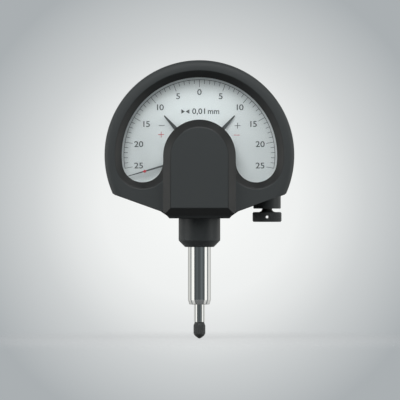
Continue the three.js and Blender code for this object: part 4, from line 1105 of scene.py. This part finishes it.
class WindSprings(bpy.types.Operator):
    """Winds the two springs on the spindle; the coils keep their shape and are not pressed by the free lift.
    """

    bl_idname = "comparator.wind_springs"
    bl_label = "Springs"

    def execute(self, context):
        self.spring("measuring_spring", "case", turns=8, room_below=0.45 * mm, pressed_share=0.58)
        self.spring("shock_spring", "driver", turns=5, room_below=0, pressed_share=0.42)
        return {"FINISHED"}

    def spring(self, node, body, turns, room_below, pressed_share):
        """A round wire led up a helix; the room below is for the measuring travel."""
        low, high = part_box(node)
        wire = 0.16 * mm
        steps_per_turn = 32
        foot = low.z + room_below + wire
        bpy.ops.object.select_all(action="DESELECT")
        bpy.ops.mesh.primitive_circle_add(
            vertices=12, radius=wire, location=(high.x - wire, 0, foot), rotation=(math.pi / 2, 0, 0)
        )
        coil = bpy.context.object
        coil.name = f"{node}_wire"
        bpy.ops.object.transform_apply(location=True, rotation=True, scale=True)
        helix = coil.modifiers.new("helix", "SCREW")
        helix.steps = steps_per_turn
        helix.render_steps = steps_per_turn
        helix.iterations = turns
        helix.screw_offset = (high.z - wire - foot) / turns
        bpy.ops.object.modifier_apply(modifier=helix.name)
        open_piece(coil)
        bpy.ops.mesh.fill_holes(sides=0)
        finish_solid()
        smooth_faces(coil)
        dress(coil, "steel", body, "steel", node)
        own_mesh(coil)


# Fine adjustment knob


class TurnKnob(bpy.types.Operator):
    """Turns and knurls the fine adjustment knob"""

    bl_idname = "comparator.turn_knob"
    bl_label = "Adjustment knob"

    def execute(self, context):
        radius, centre = (knob_high.x - knob_low.x) / 2, axis_of("adjust_screw", "Z")
        foot, top, end = knob_low.z, knob_low.z + 3.46 * mm, knob_high.z
        chamfer, tooth_height = 0.35 * mm, 0.11 * mm
        collar, thread, thread_foot = 1.75 * mm, 1.25 * mm, end - 8.05 * mm
        fillet_width, fillet_height, fillet_steps = 1.4 * mm, 1.05 * mm, 6
        grip, levels = radius - tooth_height, 8
        rows = [(0, foot), (radius - chamfer, foot)]
        for step in range(levels + 1):
            rows.append((grip, foot + chamfer + (top - foot - 2 * chamfer) * step / levels))
        rows.append((radius - chamfer, top))
        for step in range(fillet_steps + 1):
            turn = math.pi / 2 * (1 - step / fillet_steps)
            rows.append((
                collar + fillet_width * (1 - math.cos(turn)), top + fillet_height * (1 - math.sin(turn)),
            ))
        rows += [(collar, thread_foot), (thread, thread_foot), (thread, end), (0, end)]
        knob = turned("adjuster_knob", rows, round_sides, "Z", centre)
        self.knurl(knob, centre, grip, tooth_height)
        pin_radius, pin_place = 0.5 * mm, centre + Vector((0, 0, (foot + top) / 2))
        drill(knob, pin_radius, -radius - overrun, radius + overrun, "Y", pin_place)
        smooth_faces(knob)
        dress(knob, "lacquer", "fine_screw", "black_plastic", "adjust_screw")
        return {"FINISHED"}

    def knurl(self, knob, centre, grip, tooth_height):
        """Raises a small pyramid on every face of the grip."""
        inside_grip = grip - 0.05 * mm
        open_piece(knob)
        select_faces(knob, lambda face: (
            abs(face.normal.z) < 0.02 and (face.center.xy - centre.xy).length > inside_grip
        ))
        bpy.ops.mesh.poke(offset=tooth_height)
        close_piece()


# Dial printing


def on_dial(radius, degrees, y):
    """A point on the dial; degrees count from the top, clockwise as the dial is read."""
    angle = math.radians(degrees)
    return Vector((radius * math.sin(angle), y, radius * math.cos(angle))) + dial_centre


def printed_text(name, words, height, place, weight=0.03 * mm, stretch=1.16, spacing=1):
    """Raised printed words, centred on a place."""
    numeral_share = 0.69
    bpy.ops.object.select_all(action="DESELECT")
    bpy.ops.object.text_add()
    text = bpy.context.object
    text.name = name
    text.data.body = words
    text.data.align_x = "CENTER"
    text.data.align_y = "CENTER"
    text.data.size = height / numeral_share
    text.data.offset = weight
    text.data.space_character = spacing
    text.data.resolution_u = 6
    text.data.extrude = print_proud / 2
    bpy.ops.object.convert(target="MESH")
    bpy.ops.transform.resize(value=(stretch, 1, 1), center_override=(0, 0, 0))
    bpy.ops.transform.rotate(value=-math.pi / 2, orient_axis="X", center_override=(0, 0, 0))
    text = bpy.context.object
    text.location = place - Vector((0, print_proud / 2, 0))
    bpy.ops.object.transform_apply(location=True, rotation=True, scale=True)
    return text


def printed_shape(name, corners, y):
    """A printed patch with straight edges in the dial's plane."""
    return slab(name, [Vector((x, y, z)) for x, z in corners], -print_proud)


def printed_bar(x, z, half_width, half_height, y):
    """A printed bar in the dial's plane."""
    left, right, bottom, top = x - half_width, x + half_width, z - half_height, z + half_height
    return printed_shape("bar", [(left, bottom), (right, bottom), (right, top), (left, top)], y)


def join_pieces(name, pieces):
    bpy.ops.object.select_all(action="DESELECT")
    for piece in pieces:
        piece.select_set(True)
    bpy.context.view_layer.objects.active = pieces[0]
    bpy.ops.object.join()
    joined = bpy.context.object
    joined.name = name
    joined.data.name = name
    return joined


class PrintDial(bpy.types.Operator):
    """Prints the graduation, the numbers and the signs on the dial"""

    bl_idname = "comparator.print_dial"
    bl_label = "Dial printing"
    division = math.radians(4)
    half_scale = math.radians(100)

    def execute(self, context):
        sizes = context.scene.comparator_dial
        y = dial_low.y
        self.ticks("graduation_short", sizes, sizes.short_tick, y, False)
        self.ticks("graduation_long", sizes, sizes.long_tick, y, True)
        self.arc_line(sizes, y)
        self.numbers(sizes, y)
        self.legend(sizes, y)
        self.signs(y)
        return {"FINISHED"}

    def ticks(self, name, sizes, reach, y, numbered):
        """One line drawn at the top, taken to the left end of the scale and spun round from there."""
        middle = dial_centre.z + sizes.arc_radius - reach / 2
        piece = printed_bar(0, middle, sizes.line_width / 2, reach / 2, y)
        piece.name = name
        piece.data.name = name
        open_piece(piece)
        self.spin(1, self.half_scale if numbered else self.half_scale - self.division)
        bpy.ops.mesh.select_all(action="INVERT")
        bpy.ops.mesh.delete(type="VERT")
        bpy.ops.mesh.select_all(action="SELECT")
        if not numbered:
            self.spin(3, -3 * self.division)
            bpy.ops.mesh.select_all(action="SELECT")
        groups = 10 if numbered else 9
        self.spin(groups, -groups * 5 * self.division)
        close_piece()
        dress(piece, "dark_print", "dial", "dial_face")

    def spin(self, copies, angle):
        bpy.ops.mesh.spin(steps=copies, dupli=True, angle=angle, center=dial_centre, axis=(0, 1, 0))

    def arc_line(self, sizes, y):
        half = sizes.line_width / 2
        inner, outer = sizes.arc_radius - half, sizes.arc_radius + half
        centre = dial_centre + Vector((0, y, 0))
        begin("graduation_arc", on_dial(outer, 100, y))
        draw_arc(centre, 2 * self.half_scale, 160)
        draw_to(on_dial(inner, -100, y) - on_dial(outer, -100, y))
        draw_arc(centre, -2 * self.half_scale, 160)
        dress(push_outline(-print_proud), "dark_print", "dial", "dial_face")

    def numbers(self, sizes, y):
        """The numbers stand further in at the sides; the digits after a 1 stand closer to it."""
        pieces = []
        most_drawn_in, close_spacing = 0.4 * mm, 0.86
        for step in range(-5, 6):
            degrees = 20 * step
            drawn_in = most_drawn_in * abs(math.sin(math.radians(degrees)))
            place = on_dial(sizes.numeral_radius - drawn_in, degrees, y)
            words = str(5 * abs(step))
            spacing = close_spacing if words.startswith("1") else 1
            pieces.append(printed_text("number", words, sizes.numeral_height, place, spacing=spacing))
        dress(join_pieces("dial_numbers", pieces), "dark_print", "dial", "dial_face")

    def legend(self, sizes, y):
        z = dial_centre.z + sizes.legend_rise
        value_x, unit_x, arrows_x, weight = -0.02 * mm, 4.95 * mm, -4.95 * mm, 0.045 * mm
        value = printed_text("value", "0,01", sizes.legend_height, Vector((value_x, y, z)), weight, 1.08)
        unit = printed_text("unit", "mm", sizes.legend_height, Vector((unit_x, y, z)), weight, 1.0)
        arrows = [part for side in (1, -1) for part in self.arrow(side, arrows_x, z, y)]
        dress(join_pieces("dial_legend", [value, unit, *arrows]), "dark_print", "dial", "dial_face")

    def arrow(self, side, middle, z, y):
        """A triangle with a bar at its foot; the two point at each other."""
        half, gap, reach, bar = 0.74 * mm, 0.12 * mm, 1.3 * mm, 0.06 * mm
        tip, tail = middle - side * gap, middle - side * reach
        triangle = printed_shape("arrow", [(tip, z), (tail, z + half), (tail, z - half)], y)
        return triangle, printed_bar(tail - side * gap, z, bar, half, y)

    def signs(self, y):
        """A minus and a plus at each side, dark above and red below."""
        arm, thick = 1.05 * mm, 0.1 * mm
        spots = {
            "dark": [(-13.2 * mm, 10.35 * mm, False), (13.35 * mm, 10.35 * mm, True)],
            "red": [(-13.4 * mm, 7.2 * mm, True), (13.1 * mm, 7.05 * mm, False)],
        }
        for colour, places in spots.items():
            pieces = []
            for x, rise, plus in places:
                z = dial_centre.z + rise
                pieces.append(printed_bar(x, z, arm, thick, y))
                if plus:
                    combine(pieces[-1], printed_bar(x, z, thick, arm, y), "UNION")
            dress(join_pieces(f"{colour}_signs", pieces), f"{colour}_print", "dial", "dial_face")


# Pointer and markers


def directions(degrees):
    """The ways along and across a hand that points at an angle from the top."""
    angle = math.radians(degrees)
    return Vector((math.sin(angle), 0, math.cos(angle))), Vector((math.cos(angle), 0, -math.sin(angle)))


class MakePointer(bpy.types.Operator):
    """Makes the pointer with its red mark and the two tolerance markers"""

    bl_idname = "comparator.make_pointer"
    bl_label = "Pointer and markers"

    def execute(self, context):
        sizes = context.scene.comparator_dial
        self.pointer(sizes)
        for side, name in ((-1, "left"), (1, "right")):
            self.marker(sizes, side, name)
        return {"FINISHED"}

    def blade(self, name, degrees, reaches, widths, front, back, round_steps=6):
        """A blade with a rounded end; its half outline goes through reaches and widths."""
        along, across = directions(degrees)
        start = dial_centre + Vector((0, front, 0))
        tip_radius = widths[-1] / 2
        end = reaches[-1] - tip_radius
        side = [(reach, width / 2) for reach, width in zip(reaches, widths[:-1])] + [(end, tip_radius)]
        nose = []
        for step in range(1, round_steps):
            turn = math.pi * step / round_steps
            nose.append((end + tip_radius * math.sin(turn), tip_radius * math.cos(turn)))
        rows = side + nose + [(reach, -half) for reach, half in reversed(side)]
        thickness = 0.7 * (back - front)
        return slab(name, [start + along * reach + across * half for reach, half in rows], thickness)

    def pointer(self, sizes):
        rest = -106.4
        root, tip, tail_end, tail_width = 0.4 * mm, 26.1 * mm, 6 * mm, 1.6 * mm
        low, high = pointer_low.y, pointer_high.y
        front, back = low + 0.25 * mm, low + 0.45 * mm
        hub_radius, arbor_hole = 1 * mm, 0.35 * mm
        widths = (sizes.pointer_width, sizes.pointer_tip)
        needle = self.blade("pointer_needle", rest, (root, tip), widths, front, back)
        widths = (sizes.pointer_width, tail_width)
        combine(needle, self.blade("tail", rest + 180, (root, tail_end), widths, front, back), "UNION")
        rows = rounded(bar_rows(hub_radius, low, high), fine_edge)
        combine(needle, turned("hub", rows, small_sides, "Y", dial_centre), "UNION")
        drill(needle, arbor_hole, low - overrun, high + overrun, "Y", dial_centre)
        smooth_faces(needle)
        dress(needle, "pointer", "pointer", "dark_lacquer", "pointer")
        mark_reach, mark_half = 20 * mm, 0.72 * mm
        mark = self.lozenge("pointer_mark", on_dial(mark_reach, rest, front), mark_half, rest)
        dress(mark, "red_print", "pointer", "dark_lacquer")

    def lozenge(self, name, place, half, degrees):
        """A small flat mark with its corners along and across the pointer."""
        along, across = [way * half for way in directions(degrees)]
        across *= 0.85
        thickness, edge_width, edge_height = 0.06 * mm, 0.06 * mm, 0.03 * mm
        draw_line(name, [place + along, place + across, place - along, place - across])
        fill_outline((0, -1, 0))
        push((0, -thickness, 0))
        bpy.ops.mesh.inset(thickness=edge_width, depth=edge_height)
        return finish_solid()

    def marker(self, sizes, side, name):
        """A tapering hand with a ring that turns on the hub."""
        node = f"{name}_tolerance_marker"
        low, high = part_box(node)
        root, shoulder, tip, degrees = 4 * mm, 13.2 * mm, 18.6 * mm, 41.8 * side
        bore, ring_radius = 3.27 * mm, 4.4 * mm
        widths = (sizes.marker_width, sizes.marker_width, sizes.marker_tip)
        hand = self.blade(f"{name}_marker_hand", degrees, (root, shoulder, tip), widths, low.y, high.y, 8)
        rows = [(bore, low.y), (ring_radius, low.y), (ring_radius, high.y), (bore, high.y), (bore, low.y)]
        combine(hand, turned("ring", rows, round_sides, "Y", dial_centre), "UNION")
        smooth_faces(hand)
        dress(hand, "pointer", f"{name}_marker", "dark_lacquer", node)


# Stage


def seen_ray(tree):
    """One for what the camera, a mirror or a clear part sees."""
    path = add_node(tree, "LightPath").outputs
    first = add_node(tree, "Math", {0: path["Is Camera Ray"], 1: path["Is Glossy Ray"]}, operation="MAXIMUM")
    both = add_node(
        tree, "Math", {0: first.outputs["Value"], 1: path["Is Transmission Ray"]}, operation="MAXIMUM"
    )
    return both.outputs["Value"]


def colour_ramp(tree, value, stops):
    """Colours by a value from 0 to 1; the first and last stop stand at its ends."""
    ramp = add_node(tree, "ValToRGB", {"Fac": value})
    points = ramp.color_ramp.elements
    points[0].color = (*stops[0][1], 1)
    points[1].color = (*stops[-1][1], 1)
    for place, colour in stops[1:-1]:
        points.new(place).color = (*colour, 1)
    return ramp.outputs["Color"]


class SetStage(bpy.types.Operator):
    """Sets the floor, the backdrop, the lamps and the camera"""

    bl_idname = "comparator.set_stage"
    bl_label = "Stage"

    def execute(self, context):
        stage = context.scene.comparator_stage
        finishes = context.scene.comparator_finishes
        self.floor(finishes)
        self.surroundings(context.scene, stage, finishes)
        self.lamps(stage)
        self.camera(context.scene, stage)
        return {"FINISHED"}

    def floor(self, finishes):
        """A round floor that fades out at its edge and throws little light back."""
        height = contact_low.z - 0.4 * mm
        bpy.ops.object.select_all(action="DESELECT")
        bpy.ops.mesh.primitive_circle_add(
            vertices=round_sides, radius=floor_radius, fill_type="NGON", location=(0, 0, height)
        )
        floor = bpy.context.object
        floor.name = "stage_floor"
        bpy.ops.object.transform_apply(location=True, rotation=True, scale=True)
        finish = Finish("stage floor", finishes.floor, 0.7)
        finish.set("Specular IOR Level", 0.0)
        tree = finish.tree
        place = add_node(tree, "TexCoord").outputs["Object"]
        flat = add_node(tree, "VectorMath", {0: place, 1: (1, 1, 0)}, operation="MULTIPLY")
        away = add_node(tree, "VectorMath", {0: flat.outputs["Vector"]}, operation="LENGTH")
        clearness = add_node(tree, "MapRange", {
            "Value": away.outputs["Value"], "From Min": 0.1 * floor_radius, "From Max": 0.98 * floor_radius,
            "To Min": 0.79,
        }, interpolation_type="SMOOTHSTEP")
        dim = add_node(tree, "BsdfDiffuse", {"Color": (0.08, 0.08, 0.08, 1)}).outputs["BSDF"]
        shade = add_node(tree, "MixShader", {0: seen_ray(tree), 1: dim, 2: finish.shader.outputs["BSDF"]})
        clear = add_node(tree, "BsdfTransparent").outputs["BSDF"]
        fade = add_node(
            tree, "MixShader", {0: clearness.outputs["Result"], 1: shade.outputs["Shader"], 2: clear}
        )
        tree.links.new(fade.outputs["Shader"], tree.nodes["Material Output"].inputs["Surface"])
        floor.data.materials.append(finish.material)

    def surroundings(self, scene, stage, finishes):
        """A pale glow behind the part, a dim room in front of it and soft light all round."""
        scene.world = bpy.data.worlds.new("studio")
        scene.world.use_nodes = True
        tree = scene.world.node_tree
        tree.nodes.clear()
        direction = add_node(tree, "TexCoord").outputs["Generated"]
        parts = add_node(tree, "SeparateXYZ", {"Vector": direction}).outputs
        above = add_node(
            tree, "MapRange", {"Value": parts["Z"], "From Min": -0.25, "From Max": 0.35, "To Max": stage.fill}
        )
        fill = add_node(
            tree, "Background", {"Color": (0.95, 0.97, 1.0, 1), "Strength": above.outputs["Result"]}
        )
        mirrored = add_node(tree, "LightPath").outputs["Is Glossy Ray"]
        look = add_node(tree, "Mix", data_type="RGBA")
        tree.links.new(mirrored, look.inputs["Factor"])
        tree.links.new(self.glow(tree, direction, finishes), look.inputs["A"])
        tree.links.new(self.room(tree, parts, finishes), look.inputs["B"])
        seen = add_node(tree, "Background", {"Color": look.outputs["Result"]})
        mix = add_node(tree, "MixShader", {
            0: seen_ray(tree), 1: fill.outputs["Background"], 2: seen.outputs["Background"],
        })
        tree.links.new(mix.outputs["Shader"], add_node(tree, "OutputWorld").inputs["Surface"])

    def glow(self, tree, direction, finishes):
        """The backdrop's colour by the distance from straight behind the part."""
        corner_reach = 0.043
        ahead = add_node(tree, "VectorMath", {0: direction, 1: (0, 1, 0)}, operation="DISTANCE")
        reach = add_node(tree, "MapRange", {"Value": ahead.outputs["Value"], "From Max": corner_reach})
        middle, edge = Vector(finishes.backdrop_middle), Vector(finishes.backdrop_edge)
        stops = [(place, middle.lerp(edge, part)) for place, part in backdrop_shares]
        return colour_ramp(tree, reach.outputs["Result"], stops)

    def room(self, tree, parts, finishes):
        """The mirrored room: its bands round the part, made dimmer above and below."""
        middle = Vector(finishes.backdrop_middle)
        bands = [(0, middle)]
        for degrees, level in room_bands:
            tint = finishes.room_light if level > 0.3 else finishes.room_shade
            bands.append((0.5 + degrees / 360, Vector(tint) * level))
        bands.append((1, middle))
        front = add_node(tree, "Math", {0: parts["Y"], 1: -1}, operation="MULTIPLY").outputs["Value"]
        around = add_node(tree, "Math", {0: parts["X"], 1: front}, operation="ARCTAN2").outputs["Value"]
        turn = add_node(tree, "MapRange", {"Value": around, "From Min": -math.pi, "From Max": math.pi})
        lowest, highest = room_heights[0][1], room_heights[-1][1]
        heights = [(0, [lowest] * 3)]
        heights += [(0.5 + rise / 2, [level] * 3) for rise, level in room_heights]
        heights.append((1, [highest] * 3))
        height = add_node(tree, "MapRange", {"Value": parts["Z"], "From Min": -1})
        dimmed = add_node(tree, "Mix", data_type="RGBA", blend_type="MULTIPLY")
        dimmed.inputs["Factor"].default_value = 1
        tree.links.new(colour_ramp(tree, turn.outputs["Result"], bands), dimmed.inputs["A"])
        tree.links.new(colour_ramp(tree, height.outputs["Result"], heights), dimmed.inputs["B"])
        return dimmed.outputs["Result"]

    def lamps(self, stage):
        side, right_side = stage.side_light, 1.18 * stage.side_light
        self.lamp("top_lamp", 5, 50, 0.32, (0.35, 0.06), stage.top_light, mirrored=True)
        self.lamp("front_lamp", -14, 28, 1.2, (0.8, 0.8), stage.front_light)
        self.lamp("left_lamp", -72, 0, 0.87, (0.3, 1.0), side)
        self.lamp("right_lamp", 72, 0, 0.87, (0.3, 1.0), right_side)

    def lamp(self, name, azimuth, elevation, distance, size, watts, mirrored=False):
        """A soft rectangular lamp; azimuth counts from the camera's side to the right."""
        aim = Vector((0, 0, 20 * mm))
        turn, rise = math.radians(azimuth), math.radians(elevation)
        away = Vector((math.sin(turn) * math.cos(rise), -math.cos(turn) * math.cos(rise), math.sin(rise)))
        light = bpy.data.lights.new(name, "AREA")
        light.shape = "RECTANGLE"
        light.size, light.size_y = size
        light.energy = watts
        lamp = bpy.data.objects.new(name, light)
        bpy.context.scene.collection.objects.link(lamp)
        lamp.location = away * distance + aim
        lamp.rotation_euler = away.to_track_quat("Z", "Y").to_euler()
        lamp.visible_glossy = mirrored

    def camera(self, scene, stage):
        data = bpy.data.cameras.new("camera")
        data.sensor_width = 36
        data.lens = data.sensor_width * stage.camera_distance / stage.frame_height
        data.clip_start = 0.05
        data.clip_end = 50
        camera = bpy.data.objects.new("camera", data)
        scene.collection.objects.link(camera)
        camera.location = (stage.camera_x, -stage.camera_distance, stage.camera_z)
        camera.rotation_euler = (math.pi / 2, 0, 0)
        scene.camera = camera
        scene.view_settings.view_transform = "Standard"


# Add-on


class ComparatorPanel(bpy.types.Panel):
    """Lists the comparator's steps"""

    bl_idname = "VIEW3D_PT_comparator"
    bl_label = "Dial comparator"
    bl_space_type = "VIEW_3D"
    bl_region_type = "UI"
    bl_category = "Comparator"

    def draw(self, context):
        for step in STEPS:
            self.layout.operator(step.bl_idname)


GROUPS = {
    "comparator_housing": HousingSizes,
    "comparator_dial": DialSizes,
    "comparator_finishes": Finishes,
    "comparator_stage": StageSettings,
}
STEPS = (
    PaintFinishes, ModelHousing, MakeRearCover, TurnSpindle, WindSprings, TurnKnob, PrintDial, MakePointer,
    SetStage,
)


def register():
    for kind in (*GROUPS.values(), *STEPS, ComparatorPanel):
        bpy.utils.register_class(kind)
    for name, kind in GROUPS.items():
        setattr(bpy.types.Scene, name, bpy.props.PointerProperty(type=kind))


def unregister():
    for name in GROUPS:
        delattr(bpy.types.Scene, name)
    for kind in (ComparatorPanel, *reversed(STEPS), *reversed(GROUPS.values())):
        bpy.utils.unregister_class(kind)


def main():
    register()
    bpy.ops.comparator.paint_finishes()
    bpy.ops.comparator.model_housing()
    bpy.ops.comparator.make_rear_cover()
    bpy.ops.comparator.turn_spindle()
    bpy.ops.comparator.wind_springs()
    bpy.ops.comparator.turn_knob()
    bpy.ops.comparator.print_dial()
    bpy.ops.comparator.make_pointer()
    bpy.ops.comparator.set_stage()


if __name__ == "__main__":
    main()
